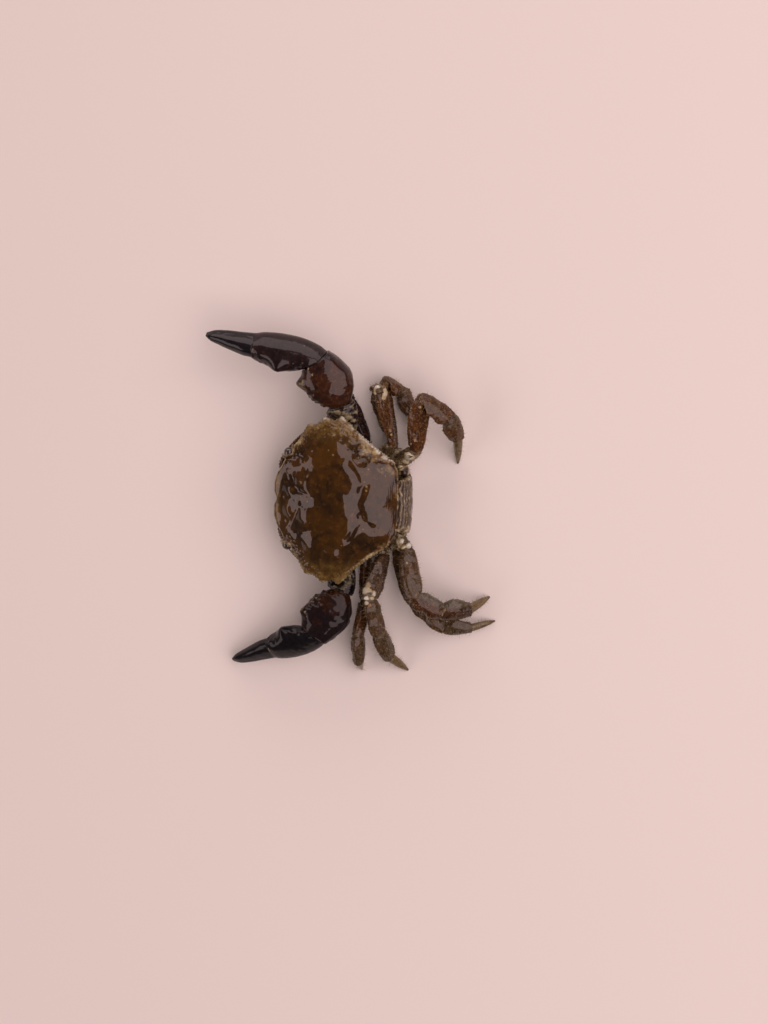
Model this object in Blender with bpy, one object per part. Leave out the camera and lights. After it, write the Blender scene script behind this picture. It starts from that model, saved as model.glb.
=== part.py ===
"""A still, life-size crestleg crab, Lophopanopeus frontalis, resting on its belly.

Sizes are in millimetres and are turned into metres where a mesh is made. +Z is up, the crab
faces -Y, its left side is +X, and the origin is on the floor under the middle of the carapace.
"""
import math

import bmesh
import bpy
from mathutils import Vector

MM = 0.001
JOINT_GAP = 0.3

CARAPACE_WIDTH = 11.8
CARAPACE_HEIGHT = 5.1
CARAPACE_UNDERSIDE = 1.85
MARGIN_HEIGHT = 3.4
FRONT_HEIGHT = 3.45
REAR_HEIGHT = 3.35
MARGIN_EDGE = 0.45
OUTLINE_STEP = 0.42
CARAPACE_CENTRE = Vector((0.0, -0.75, 0.0))

EYE_RADIUS = 0.4
STALK_RADIUS = 0.27
EYE_CENTRE = Vector((3.24, -4.18, 3.3))
STALK_ROOT = Vector((2.5, -3.95, 3.1))

STERNUM_HEIGHT = 1.4
ABDOMEN_THICKNESS = 0.6
TAIL_GROOVE = 0.09

TIP_HEIGHT = 0.03

LEG_SIDES = 10
CLAW_SIDES = 16

OLIVE_BROWN = (0.11, 0.07, 0.03, 1.0)
PALE_BELLY = (0.42, 0.33, 0.22, 1.0)
LEG_BROWN = (0.16, 0.09, 0.045, 1.0)
TAN = (0.36, 0.29, 0.17, 1.0)
CLAW_BROWN = (0.10, 0.05, 0.035, 1.0)
FINGER_BLACK = (0.03, 0.02, 0.02, 1.0)
EYE_BLACK = (0.01, 0.01, 0.012, 1.0)


def make_collection(name):
    collection = bpy.data.collections.new(name)
    bpy.context.scene.collection.children.link(collection)
    return collection


def make_material(name, colour, roughness):
    material = bpy.data.materials.new(name)
    material.use_nodes = True
    shader = material.node_tree.nodes["Principled BSDF"]
    shader.inputs["Base Color"].default_value = colour
    shader.inputs["Roughness"].default_value = roughness
    shader.inputs["Metallic"].default_value = 0.0
    return material


def add_object(name, points, faces, collection, material=None):
    """Makes one object from points in millimetres, with its faces turned outwards."""
    work = bmesh.new()
    verts = [work.verts.new(Vector(p) * MM) for p in points]
    for face in faces:
        work.faces.new([verts[i] for i in face])
    bmesh.ops.recalc_face_normals(work, faces=work.faces)
    mesh = bpy.data.meshes.new(name)
    work.to_mesh(mesh)
    work.free()
    mesh.shade_smooth()
    mesh.set_sharp_from_angle(angle=math.radians(50))
    if material:
        mesh.materials.append(material)
    thing = bpy.data.objects.new(name, mesh)
    collection.objects.link(thing)
    return thing


def loft(name, rings, collection, material=None):
    """Skins a row of rings with equal counts and closes both ends with a flat face."""
    count = len(rings[0])
    points = [p for ring in rings for p in ring]
    faces = [tuple(reversed(range(count)))]
    for r in range(len(rings) - 1):
        for i in range(count):
            j = (i + 1) % count
            faces.append((r * count + i, r * count + j, (r + 1) * count + j, (r + 1) * count + i))
    last = (len(rings) - 1) * count
    faces.append(tuple(range(last, last + count)))
    return add_object(name, points, faces, collection, material)


def section(centre, normal, upward, half_width, half_depth, sides, crest=0.0, boxiness=2.4):
    """One ring: an oval that is half_depth tall along upward, with an optional crest on top."""
    normal = normal.normalized()
    across = upward.cross(normal).normalized()
    up = normal.cross(across).normalized()
    ring = []
    for i in range(sides):
        angle = math.tau * (i + 0.5 * (sides % 4 == 0)) / sides + math.pi / 2
        c = math.cos(angle)
        s = math.sin(angle)
        reach = (abs(c) ** boxiness + abs(s) ** boxiness) ** (-1.0 / boxiness)
        height = reach * s * half_depth + crest * max(s, 0.0) ** 6
        ring.append(centre + across * (reach * c * half_width) + up * height)
    return ring


def trim_at_floor(thing):
    """Cuts off whatever would pass below the floor and closes the cut with a flat."""
    work = bmesh.new()
    work.from_mesh(thing.data)
    everything = work.verts[:] + work.edges[:] + work.faces[:]
    cut = bmesh.ops.bisect_plane(work, geom=everything, dist=1e-9, plane_co=(0, 0, 0),
                                 plane_no=(0, 0, -1), clear_outer=True)
    rim = [e for e in cut["geom_cut"] if isinstance(e, bmesh.types.BMEdge)]
    bmesh.ops.contextual_create(work, geom=rim)
    bmesh.ops.recalc_face_normals(work, faces=work.faces)
    work.to_mesh(thing.data)
    work.free()


def fuse(name, first, others, solver="EXACT", operation="UNION"):
    """Joins or cuts closed meshes into one and drops all but the largest closed surface."""
    group = bpy.data.collections.new(name + "_pieces")
    for other in others:
        for owner in list(other.users_collection):
            owner.objects.unlink(other)
        group.objects.link(other)
    modifier = first.modifiers.new("join", "BOOLEAN")
    modifier.operation = operation
    modifier.operand_type = "COLLECTION"
    modifier.collection = group
    modifier.solver = solver
    bpy.context.view_layer.update()
    graph = bpy.context.evaluated_depsgraph_get()
    mesh = bpy.data.meshes.new_from_object(first.evaluated_get(graph))
    first.modifiers.remove(modifier)
    for other in others:
        bpy.data.objects.remove(other)
    bpy.data.collections.remove(group)
    keep_largest(mesh)
    mesh.name = name
    first.data = mesh
    first.name = name
    mesh.shade_smooth()
    mesh.set_sharp_from_angle(angle=math.radians(50))
    return first


def keep_largest(mesh):
    """Keeps the closed surface with the most volume inside it."""
    work = bmesh.new()
    work.from_mesh(mesh)
    bmesh.ops.remove_doubles(work, verts=work.verts, dist=0.0005 * MM)
    seen = set()
    shells = []
    for face in work.faces:
        if face in seen:
            continue
        shell = []
        stack = [face]
        seen.add(face)
        while stack:
            current = stack.pop()
            shell.append(current)
            for edge in current.edges:
                for neighbour in edge.link_faces:
                    if neighbour not in seen:
                        seen.add(neighbour)
                        stack.append(neighbour)
        shells.append(shell)
    shells.sort(key=shell_volume, reverse=True)
    loose = [face for shell in shells[1:] for face in shell]
    bmesh.ops.delete(work, geom=loose, context="FACES")
    work.to_mesh(mesh)
    work.free()


def shell_volume(faces):
    total = 0.0
    for face in faces:
        corners = [v.co for v in face.verts]
        for a, b in zip(corners[1:-1], corners[2:]):
            total += corners[0].dot(a.cross(b)) / 6
    return abs(total)


# Carapace

# Half of the outline seen from above, from the middle of the front round the left side.
FRONT_EDGE = [(0.0, -5.0), (0.5, -5.2), (1.2, -5.18), (1.85, -4.98), (2.3, -4.7)]
ORBIT_EDGE = [(2.75, -4.5), (3.3, -4.2)]
SIDE_TEETH = [
    (3.8, -3.8), (4.15, -3.5), (4.7, -3.2),
    (5.33, -2.85), (5.3, -2.3),
    (5.9, -1.85), (5.62, -1.2),
    (CARAPACE_WIDTH / 2, -0.65), (5.5, -0.1),
]
REAR_EDGE = [(4.95, 0.45), (4.45, 1.05), (4.0, 1.6), (3.45, 2.35), (2.85, 3.2)]
BACK_EDGE = [(2.3, 3.5), (1.5, 3.62), (0.75, 3.66), (0.0, 3.67)]

# Swellings of the shell's regions: place, spread and height.
REGIONS = [
    (0.0, -2.0, 0.45, 0.16),
    (1.3, -2.7, 0.70, 0.26),
    (0.75, -4.1, 0.45, 0.16),
    (3.2, -2.4, 0.65, 0.22),
    (4.0, -0.7, 0.80, 0.22),
    (0.0, -0.6, 0.75, 0.20),
    (2.3, 0.7, 0.95, 0.24),
    (0.0, 1.5, 0.80, 0.26),
    (0.0, 3.0, 0.55, 0.10),
]


def half_outline():
    """The outline's corners, with the long gaps between them divided."""
    corners = FRONT_EDGE + ORBIT_EDGE + SIDE_TEETH + REAR_EDGE + BACK_EDGE
    points = []
    for a, b in zip(corners, corners[1:]):
        steps = max(1, round(math.dist(a, b) / OUTLINE_STEP))
        for k in range(steps):
            points.append((a[0] + (b[0] - a[0]) * k / steps, a[1] + (b[1] - a[1]) * k / steps))
    points.append(corners[-1])
    return points


def full_outline():
    left = half_outline()
    right = [(-x, y) for x, y in reversed(left[1:-1])]
    return [Vector((x, y, 0.0)) for x, y in left + right]


def soften(loop, passes):
    """Rounds a closed loop of points by averaging each with its neighbours."""
    for _ in range(passes):
        count = len(loop)
        loop = [(loop[i - 1] + loop[i] * 2 + loop[(i + 1) % count]) / 4 for i in range(count)]
    return loop


def margin_height(y):
    """Height of the shell's edge: front, widest part and back are nearly level."""
    front = max(0.0, (-y - 2.5) / 2.7)
    rear = max(0.0, (y - 0.5) / 3.2)
    return MARGIN_HEIGHT + (FRONT_HEIGHT - MARGIN_HEIGHT) * front + (REAR_HEIGHT - MARGIN_HEIGHT) * rear


def relief(x, y):
    return sum(
        height * math.exp(-((abs(x) - cx) ** 2 + (y - cy) ** 2) / spread**2)
        for cx, cy, spread, height in REGIONS
    )


def build_carapace(collection, material):
    outline = full_outline()
    count = len(outline)
    rings = []
    for inset, below, passes in [(0.73, 0.0, 12), (0.84, 0.65, 8), (0.975, 1.3, 2)]:
        loop = soften(outline, passes)
        ring = []
        for point in loop:
            place = CARAPACE_CENTRE + (point - CARAPACE_CENTRE) * inset
            top = margin_height(point.y) - MARGIN_EDGE
            share = below / 1.3
            place.z = CARAPACE_UNDERSIDE + (top - CARAPACE_UNDERSIDE) * share
            ring.append(place)
        rings.append(ring)
    steps = [1.0, 0.95, 0.88, 0.79, 0.69, 0.58, 0.47, 0.36, 0.24, 0.12]
    for step, share in enumerate(steps):
        loop = soften(outline, 4 * step)
        ring = []
        for point in loop:
            place = CARAPACE_CENTRE + (point - CARAPACE_CENTRE) * share
            edge = margin_height(point.y)
            swell = relief(place.x, place.y) - 0.15
            place.z = edge + (CARAPACE_HEIGHT - edge) * (1 - share**2.3) + swell * (1 - share**6)
            ring.append(place)
        rings.append(ring)
    points = [p for ring in rings for p in ring]
    faces = []
    for r in range(len(rings) - 1):
        for i in range(count):
            j = (i + 1) % count
            faces.append((r * count + i, r * count + j, (r + 1) * count + j, (r + 1) * count + i))
    for ring_start, height in [(0, CARAPACE_UNDERSIDE), ((len(rings) - 1) * count, CARAPACE_HEIGHT)]:
        hub = len(points)
        points.append(Vector((CARAPACE_CENTRE.x, CARAPACE_CENTRE.y, height)))
        for i in range(count):
            faces.append((ring_start + i, ring_start + (i + 1) % count, hub))
    shell = add_object("carapace", points, faces, collection, material)
    sockets = []
    for side in (-1, 1):
        sockets.append(eye_solid("orbit", side, JOINT_GAP, 12, collection))
    return fuse("carapace", shell, sockets, operation="DIFFERENCE")


def eye_solid(name, side, extra, sides, collection, material=None):
    """A short stalk that swells into the eye; extra grows it into the orbit's hollow."""
    root = Vector((STALK_ROOT.x * side, STALK_ROOT.y, STALK_ROOT.z))
    centre = Vector((EYE_CENTRE.x * side, EYE_CENTRE.y, EYE_CENTRE.z))
    along = (centre - root).normalized()
    length = (centre - root).length
    stations = [(-extra, 0.8), (0.15, 1.0), (length * 0.45, 1.0)]
    rings = []
    for reach, share in stations:
        radius = STALK_RADIUS * share + extra
        rings.append(section(root + along * reach, along, Vector((0, 0, 1)), radius, radius, sides,
                             boxiness=2.0))
    for angle in (-35, 0, 35, 68):
        turn = math.radians(angle)
        radius = (EYE_RADIUS + extra) * math.cos(turn)
        place = centre + along * ((EYE_RADIUS + extra) * math.sin(turn))
        rings.append(section(place, along, Vector((0, 0, 1)), radius, radius, sides, boxiness=2.0))
    return loft(name, rings, collection, material)


# Underside

# Half width of the breast plate and its place along the body.
BREAST = [(-3.2, 1.0), (-2.6, 2.0), (-1.2, 2.7), (0.4, 3.0), (1.8, 2.95), (2.8, 2.7), (3.3, 2.4)]
# Where each limb's coxa starts inside the breast plate, on the left side; 1 is the claw.
COXA_ROOTS = {1: (2.5, -0.9, 0.8), 2: (2.6, 0.5, 0.75), 3: (2.6, 1.6, 0.85), 4: (2.4, 2.5, 0.75),
              5: (2.35, 2.9, 1.0)}
COXA = [(0.0, 0.38, 0.42, 0.0), (0.5, 0.43, 0.48, 0.0), (0.82, 0.38, 0.44, 0.0), (1.0, 0.30, 0.37, 0.0)]
CLAW_COXA_SIZE = 1.0
# The abdomen's middle line, from under the shell's back edge round to its tip below the breast.
TAIL_PATH = [(4.05, 2.85, 1.9), (4.22, 2.3, 1.95), (4.26, 1.55, 2.0), (4.12, 0.9, 1.95),
             (3.72, 0.42, 1.8), (3.1, 0.3, 1.55), (2.3, 0.3, 1.35), (1.4, 0.3, 1.2),
             (0.5, 0.3, 1.05), (-0.4, 0.3, 0.95), (-1.2, 0.3, 0.75), (-1.8, 0.3, 0.4)]


def abdomen_solid(name, extra, collection, material=None):
    """The folded tail, a bent plate; extra widens it into the trough that holds it."""
    rings = []
    half = ABDOMEN_THICKNESS / 2 + extra
    last = len(TAIL_PATH) - 1
    for i, (y, z, half_width) in enumerate(TAIL_PATH):
        before = TAIL_PATH[max(i - 1, 0)]
        after = TAIL_PATH[min(i + 1, last)]
        along = Vector((0, after[0] - before[0], after[1] - before[1])).normalized()
        outward = Vector((0, -along.z, along.y))
        groove = TAIL_GROOVE if i % 2 and z > ABDOMEN_THICKNESS and not extra else 0.0
        place = Vector((0, y, z))
        if i == 0:
            place -= along * extra
        if i == last:
            place += along * extra
        wide = half_width + extra
        ring = []
        for x, depth in [(-1, 0.35), (-0.8, 1), (-0.4, 1), (0, 1), (0.4, 1), (0.8, 1), (1, 0.35),
                         (1, -0.35), (0.8, -1), (0, -1), (-0.8, -1), (-1, -0.35)]:
            lift = -(half - groove * (depth > 0.5)) * depth
            ring.append(place + Vector((x * wide, 0, 0)) + outward * lift)
        rings.append(ring)
    return loft(name, rings, collection, material)


def build_thorax(collection, material):
    rings = []
    for height, share in [(0.0, 0.86), (0.25, 0.97), (0.8, 1.0), (STERNUM_HEIGHT, 0.96)]:
        ring = []
        for side in (1, -1):
            rows = BREAST if side == 1 else reversed(BREAST)
            for y, half_width in rows:
                ring.append(Vector((side * half_width * share, y, height)))
        rings.append(ring)
    breast = loft("thorax", rings, collection, material)
    knobs = []
    for label, pose in LEGS.items():
        joints = leg_joints(label, pose)
        planes = joint_planes(joints)
        knobs.append(limb_piece("coxa", joints[0], joints[1], planes[0], planes[1], COXA, pose[5],
                                pose[6], 8, collection, material))
    for label, pose in CLAWS.items():
        joints = claw_joints(label, pose)
        planes = joint_planes(joints)
        knobs.append(limb_piece("coxa", joints[0], joints[1], planes[0], planes[1], COXA, 0,
                                CLAW_COXA_SIZE, 8, collection, material))
    joined = fuse("thorax", breast, knobs)
    trough = abdomen_solid("trough", JOINT_GAP, collection)
    return fuse("thorax", joined, [trough], operation="DIFFERENCE")


def build_mouthparts(collection, material):
    """The third maxillipeds: two plates that close the mouth like doors."""
    for side, name in ((-1, "maxilliped_right"), (1, "maxilliped_left")):
        rings = []
        for y, z, inner, outer in [(-3.75, 0.5, 0.35, 1.05), (-4.0, 0.8, 0.17, 1.4),
                                   (-4.5, 1.45, 0.17, 1.5), (-4.9, 1.95, 0.2, 1.35),
                                   (-5.08, 2.2, 0.4, 1.0)]:
            along = Vector((0, -1.4, 1.85)).normalized()
            outward = Vector((0, -along.z, along.y)) * -1
            middle = Vector((side * (inner + outer) / 2, y, z))
            rings.append(section(middle, along, outward, (outer - inner) / 2, 0.27, 10, boxiness=3.0))
        loft(name, rings, collection, material)


def build_antennae(collection, material):
    """Short feelers that fold back below the orbit and the side teeth."""
    for side, name in ((-1, "antenna_right"), (1, "antenna_left")):
        path = [(1.9, -4.85, 2.3, 0.27), (2.6, -4.75, 2.35, 0.25), (3.4, -4.3, 2.3, 0.2),
                (4.2, -3.65, 2.3, 0.15), (4.9, -2.9, 2.4, 0.09)]
        rings = []
        for i, (x, y, z, radius) in enumerate(path):
            before = Vector(path[max(i - 1, 0)][:3])
            after = Vector(path[min(i + 1, len(path) - 1)][:3])
            along = after - before
            along.x *= side
            rings.append(section(Vector((side * x, y, z)), along, Vector((0, 0, 1)), radius, radius, 8,
                                 boxiness=2.0))
        loft(name, rings, collection, material)


# Limbs

# How far each row of a limb piece is along it, its half width, its half depth and its crest.
MERUS = [(0.0, 0.34, 0.42, 0.0), (0.14, 0.42, 0.57, 0.03), (0.5, 0.45, 0.65, 0.08),
         (0.85, 0.44, 0.63, 0.08), (1.0, 0.34, 0.46, 0.0)]
CARPUS = [(0.0, 0.30, 0.38, 0.0), (0.25, 0.39, 0.52, 0.16), (0.5, 0.41, 0.53, 0.04),
          (0.75, 0.42, 0.56, 0.18), (1.0, 0.35, 0.46, 0.0)]
PROPODUS = [(0.0, 0.33, 0.43, 0.0), (0.3, 0.37, 0.52, 0.14), (0.65, 0.36, 0.48, 0.08),
            (1.0, 0.27, 0.34, 0.0)]
DACTYLUS = [(0.0, 0.25, 0.28, 0.0), (0.3, 0.24, 0.27, 0.0), (0.7, 0.16, 0.18, 0.0),
            (1.0, 0.07, 0.08, 0.0)]
LEG_PIECES = [("merus", MERUS), ("carpus", CARPUS), ("propodus", PROPODUS), ("dactylus", DACTYLUS)]

# Each walking leg: where it leaves its coxa, its knee, wrist, ankle and tip, then how far its
# broad side leans back from upright, in degrees, and its share of the full thickness.
LEGS = {
    "left_2": ((4.1, 1.12, 0.85), (7.35, 1.25, 1.55), (9.8, 0.82, 1.85), (11.8, 0.87, 1.4),
               (12.6, 0.88, TIP_HEIGHT), 20, 0.9),
    "left_3": ((4.0, 2.45, 1.4), (6.9, 1.8, 3.15), (9.5, 2.35, 2.2), (11.4, 3.05, 1.0),
               (12.45, 4.25, TIP_HEIGHT), 40, 1.1),
    "left_4": ((3.6, 3.3, 0.88), (7.2, 4.7, 1.5), (9.0, 6.9, 1.3), (9.0, 8.8, 0.85),
               (8.56, 10.4, TIP_HEIGHT), 60, 0.9),
    "left_5": ((3.4, 4.1, 1.9), (6.6, 5.0, 3.1), (7.64, 6.8, 2.4), (7.57, 8.7, 1.4),
               (6.85, 9.95, TIP_HEIGHT), 65, 1.12),
    "right_2": ((-4.0, 0.95, 0.6), (-6.7, -0.25, 0.5), (-8.2, -1.35, 0.7), (-9.2, -2.6, 0.6),
                (-9.8, -3.8, TIP_HEIGHT), 60, 0.7),
    "right_3": ((-4.0, 2.85, 1.85), (-7.95, 2.1, 3.5), (-7.75, 1.78, 2.15), (-6.1, 1.85, 1.25),
                (-4.7, 2.0, TIP_HEIGHT), 40, 0.86),
    "right_4": ((-3.6, 3.2, 0.72), (-8.3, 2.5, 1.2), (-7.6, 3.5, 0.6), (-6.1, 4.15, 0.42),
                (-5.1, 4.65, TIP_HEIGHT), 35, 0.7),
    "right_5": ((-3.65, 4.6, 1.95), (-7.25, 5.1, 3.3), (-6.0, 6.95, 2.5), (-4.5, 7.5, 1.5),
                (-2.67, 7.41, TIP_HEIGHT), 60, 1.1),
}


def leg_joints(label, pose):
    """The leg's coxa root and its joints down to the tip."""
    x, y, z = COXA_ROOTS[int(label[-1])]
    side = -1 if label.startswith("right") else 1
    return [Vector((side * x, y, z))] + [Vector(p) for p in pose[:5]]


def claw_joints(label, pose):
    """The claw's coxa root and its joints out to the finger tips."""
    x, y, z = COXA_ROOTS[1]
    side = -1 if label == "right" else 1
    return [Vector((side * x, y, z))] + [Vector(p) for p in pose[:5]]


def joint_planes(points):
    """The direction of the cut at each joint, half way between the pieces that meet there."""
    runs = [(b - a).normalized() for a, b in zip(points, points[1:])]
    planes = [runs[0]]
    for before, after in zip(runs, runs[1:]):
        planes.append((before + after).normalized())
    planes.append(runs[-1])
    return planes


def limb_piece(name, start, end, start_plane, end_plane, rows, lean, thickness, sides, collection,
               material, to_floor=False, bow=0.0):
    """One stiff piece of a limb between two joint faces, half a gap short of each."""
    run = (end - start).normalized()
    first = start + start_plane * (JOINT_GAP / 2)
    last = end if to_floor else end - end_plane * (JOINT_GAP / 2)
    upright = Vector((0, 0, 1)) - run * run.z
    if upright.length < 0.2:
        upright = Vector((0, -1, 0)) - run * -run.y
    upright.normalize()
    sideways = run.cross(upright)
    if sideways.y < 0:
        sideways = -sideways
    turn = math.radians(lean)
    crown = upright * math.cos(turn) - sideways * math.sin(turn)
    rings = []
    for share, half_width, half_depth, crest in rows:
        start_pull = max(0.0, 1 - share / 0.35)
        end_pull = max(0.0, 1 - (1 - share) / 0.35)
        normal = run + (start_plane - run) * start_pull + (end_plane - run) * end_pull
        centre = first.lerp(last, share) + upright * (bow * math.sin(math.pi * share))
        rings.append(section(centre, normal, crown, half_width * thickness, half_depth * thickness,
                             sides, crest * thickness))
    piece = loft(name, rings, collection, material)
    if to_floor:
        trim_at_floor(piece)
    return piece


def build_leg(label, pose, collection, material, tip_material):
    joints = leg_joints(label, pose)
    lean, thickness = pose[5:]
    planes = joint_planes(joints)
    for i, (piece, rows) in enumerate(LEG_PIECES, start=1):
        is_tip = piece == "dactylus"
        limb_piece("leg_%s_%s" % (label, piece), joints[i], joints[i + 1], planes[i], planes[i + 1],
                   rows, lean, thickness, LEG_SIDES, collection, tip_material if is_tip else material,
                   to_floor=is_tip)


# Claws

CLAW_MERUS = [(0.0, 0.5, 0.38, 0.0), (0.25, 0.75, 0.48, 0.0), (0.65, 1.05, 0.62, 0.0),
              (0.9, 1.05, 0.68, 0.0), (1.0, 0.8, 0.56, 0.0)]
CLAW_CARPUS = [(0.0, 0.74, 0.62, 0.0), (0.16, 1.2, 0.98, 0.0), (0.4, 1.55, 1.18, 0.0),
               (0.65, 1.6, 1.18, 0.0), (0.86, 1.35, 1.05, 0.0), (1.0, 1.02, 0.8, 0.0)]
# Palm rows: share of its length, then its top and bottom edges above the middle line, and
# half its thickness. The dactylus hinges on the upper part of the last row.
PALM = [(0.0, 0.92, -1.1, 0.76), (0.1, 1.0, -1.28, 0.86), (0.25, 1.05, -1.42, 0.93),
        (0.4, 1.3, -1.46, 0.96), (0.54, 1.6, -1.45, 0.96), (0.66, 1.36, -1.4, 0.93),
        (0.8, 1.08, -1.3, 0.87), (0.92, 0.94, -1.18, 0.78), (1.0, 0.84, -1.06, 0.66)]
POLLEX = [(0.04, -0.3, -1.0, 0.54), (0.3, -0.28, -0.84, 0.42), (0.65, -0.22, -0.66, 0.31),
          (0.88, -0.17, -0.46, 0.2), (1.0, -0.1, -0.26, 0.1)]
FINGER = [(0.0, 0.76, 0.06, 0.46), (0.15, 0.8, 0.04, 0.46), (0.4, 0.66, 0.04, 0.38),
          (0.7, 0.47, 0.07, 0.28), (0.9, 0.34, 0.11, 0.18), (1.0, 0.3, 0.15, 0.1)]
# How far the cut between carpus and palm follows the carpus rather than the palm.
WRIST_CUT = 0.85

# Each claw: where it leaves its coxa, its elbow, wrist, finger joint and tip, the way its
# upper edge leans towards the middle, in degrees, and its size against the right claw.
CLAWS = {
    "right": ((-3.95, -0.4, 1.02), (-6.75, -0.75, 2.35), (-9.75, -2.5, 3.2), (-10.6, -6.85, 3.2),
              (-11.3, -10.4, 2.7), (-8.1, -3.8, 3.3), 48, 1.0),
    "left": ((3.95, -0.4, 1.02), (6.65, -0.45, 2.3), (9.75, -2.3, 2.5), (10.95, -5.45, 1.7),
             (12.25, -8.5, 0.62), (8.05, -3.25, 2.9), 48, 0.93),
}


def flat_band(centre, along, up, across, top, bottom, half_thick, sides):
    """A ring given by its top and bottom edges instead of its middle."""
    middle = centre + up * ((top + bottom) / 2)
    return section(middle, along, up, half_thick, (top - bottom) / 2, sides, boxiness=2.3)


def claw_planes(joints):
    """The cuts at a claw's joints; the palm's base is cut slantwise."""
    planes = joint_planes(joints)
    carpus_run = (joints[3] - joints[2]).normalized()
    palm_run = (joints[4] - joints[3]).normalized()
    planes[3] = (carpus_run * WRIST_CUT + palm_run * (1 - WRIST_CUT)).normalized()
    return planes


def build_claw(side_name, pose, collection, material, finger_material):
    side = -1 if side_name == "right" else 1
    joints = claw_joints(side_name, pose)
    hip, elbow, wrist, knuckle, tip = joints[1:]
    tooth_tip = Vector(pose[5])
    lean, size = pose[6:]
    planes = claw_planes(joints)
    limb_piece("claw_%s_merus" % side_name, hip, elbow, planes[1], planes[2], CLAW_MERUS, 0, size,
               CLAW_SIDES, collection, material)
    carpus = limb_piece("claw_%s_carpus" % side_name, elbow, wrist, planes[2], planes[3],
                        CLAW_CARPUS, 0, size, CLAW_SIDES, collection, material)
    middle = elbow.lerp(wrist, 0.5)
    tooth_axis = (tooth_tip - middle).normalized()
    tooth_rows = []
    for reach, radius in [(0.4, 0.75), (1.0, 0.6), (1.5, 0.36), ((tooth_tip - middle).length, 0.08)]:
        tooth_rows.append(section(middle + tooth_axis * reach, tooth_axis, Vector((0, 0, 1)),
                                  radius * size, radius * size, 10, boxiness=2.0))
    fuse("claw_%s_carpus" % side_name, carpus, [loft("tooth", tooth_rows, collection)])

    turn = math.radians(lean)
    inward = Vector((-side, 0, 0))
    rings = []
    palm_run = (knuckle - wrist).normalized()
    up = (Vector((0, 0, 1)) * math.cos(turn) + inward * math.sin(turn))
    up = (up - palm_run * up.dot(palm_run)).normalized()
    across = palm_run.cross(up)
    start = wrist + planes[3] * (JOINT_GAP / 2)
    for share, top, bottom, thick in PALM:
        pull = max(0.0, 1 - share / 0.35)
        along = palm_run + (planes[3] - palm_run) * pull
        rings.append(flat_band(start.lerp(knuckle, share), along, up, across, top * size, bottom * size,
                               thick * size, CLAW_SIDES))
    finger_run = (tip - knuckle).normalized()
    for share, top, bottom, thick in POLLEX:
        along = palm_run.lerp(finger_run, min(1.0, share * 2 + 0.2))
        rings.append(flat_band(knuckle.lerp(tip, share), along, up, across, top * size, bottom * size,
                               thick * size, CLAW_SIDES))
    trim_at_floor(loft("claw_%s_palm" % side_name, rings, collection, material))

    rings = []
    hinge = knuckle + palm_run * JOINT_GAP
    for share, top, bottom, thick in FINGER:
        along = palm_run.lerp(finger_run, min(1.0, share * 2))
        rings.append(flat_band(hinge.lerp(tip, share), along, up, across, top * size, bottom * size,
                               thick * size, CLAW_SIDES))
    loft("claw_%s_dactylus" % side_name, rings, collection, finger_material)


def build_crab():
    for thing in list(bpy.data.objects):
        bpy.data.objects.remove(thing)
    crab = make_collection("lophopanopeus_frontalis")
    shell = make_material("olive_brown_shell", OLIVE_BROWN, 0.25)
    belly = make_material("pale_belly_shell", PALE_BELLY, 0.35)
    leg = make_material("brown_leg_shell", LEG_BROWN, 0.3)
    tan = make_material("tan_toe", TAN, 0.35)
    claw = make_material("dark_claw_shell", CLAW_BROWN, 0.25)
    finger = make_material("black_finger", FINGER_BLACK, 0.2)
    eye = make_material("eye", EYE_BLACK, 0.1)

    build_carapace(crab, shell)
    build_thorax(crab, belly)
    abdomen_solid("abdomen", 0.0, crab, belly)
    build_mouthparts(crab, belly)
    build_antennae(crab, leg)
    for side, name in ((-1, "eye_right"), (1, "eye_left")):
        eye_solid(name, side, 0.0, 10, crab, eye)
    for label, pose in LEGS.items():
        build_leg(label, pose, crab, leg, tan)
    for label, pose in CLAWS.items():
        build_claw(label, pose, crab, claw, finger)


build_crab()
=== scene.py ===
# %% [markdown]
# A wet shore crab, shell by shell
# The crab is a museum model of a crestleg crab whose back is 12 mm wide. Its solids come packed
# from the modelling step and stay where they are. This lesson grows a finer shell over each of
# them: the same joints and tables of widths, read far more often, then raised into beads, crests
# and wrinkles. A live crab is a set of hard plates with soft skin between them, so each plate
# stays a piece of its own here too.

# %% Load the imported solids
import math

import bpy
import numpy as np
from mathutils import Matrix, Vector, noise
from mathutils.kdtree import KDTree


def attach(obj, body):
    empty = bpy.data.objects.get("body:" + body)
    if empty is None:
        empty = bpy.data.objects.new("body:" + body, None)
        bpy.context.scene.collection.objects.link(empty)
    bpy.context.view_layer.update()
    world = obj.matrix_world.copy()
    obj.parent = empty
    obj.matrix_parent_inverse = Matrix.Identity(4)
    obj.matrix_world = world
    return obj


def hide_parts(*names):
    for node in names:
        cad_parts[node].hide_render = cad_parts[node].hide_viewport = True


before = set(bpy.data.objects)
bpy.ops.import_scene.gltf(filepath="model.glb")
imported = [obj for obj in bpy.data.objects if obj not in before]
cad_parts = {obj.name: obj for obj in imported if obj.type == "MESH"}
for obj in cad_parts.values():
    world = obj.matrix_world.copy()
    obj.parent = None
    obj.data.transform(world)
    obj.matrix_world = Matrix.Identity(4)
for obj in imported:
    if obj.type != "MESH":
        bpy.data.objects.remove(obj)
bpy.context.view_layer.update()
MM = 0.001

# %% [markdown]
# Colour
# Colours are picked as hex values, which are stored for the screen. Light adds up in linear
# values, so each hex value goes through one small function first.

# %% Turn hex colours to linear


def linear(hex_colour):
    """An sRGB hex colour as linear red, green, blue and alpha."""
    parts = [int(hex_colour[i:i + 2], 16) / 255 for i in (1, 3, 5)]
    return [v / 12.92 if v < 0.04045 else ((v + 0.055) / 1.055) ** 2.4 for v in parts] + [1.0]


# Standard shows the colours as they are, without the look of a film.
bpy.context.scene.view_settings.view_transform = "Standard"
print("the screen's middle grey in linear light:", round(linear("#808080")[0], 3))

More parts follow.
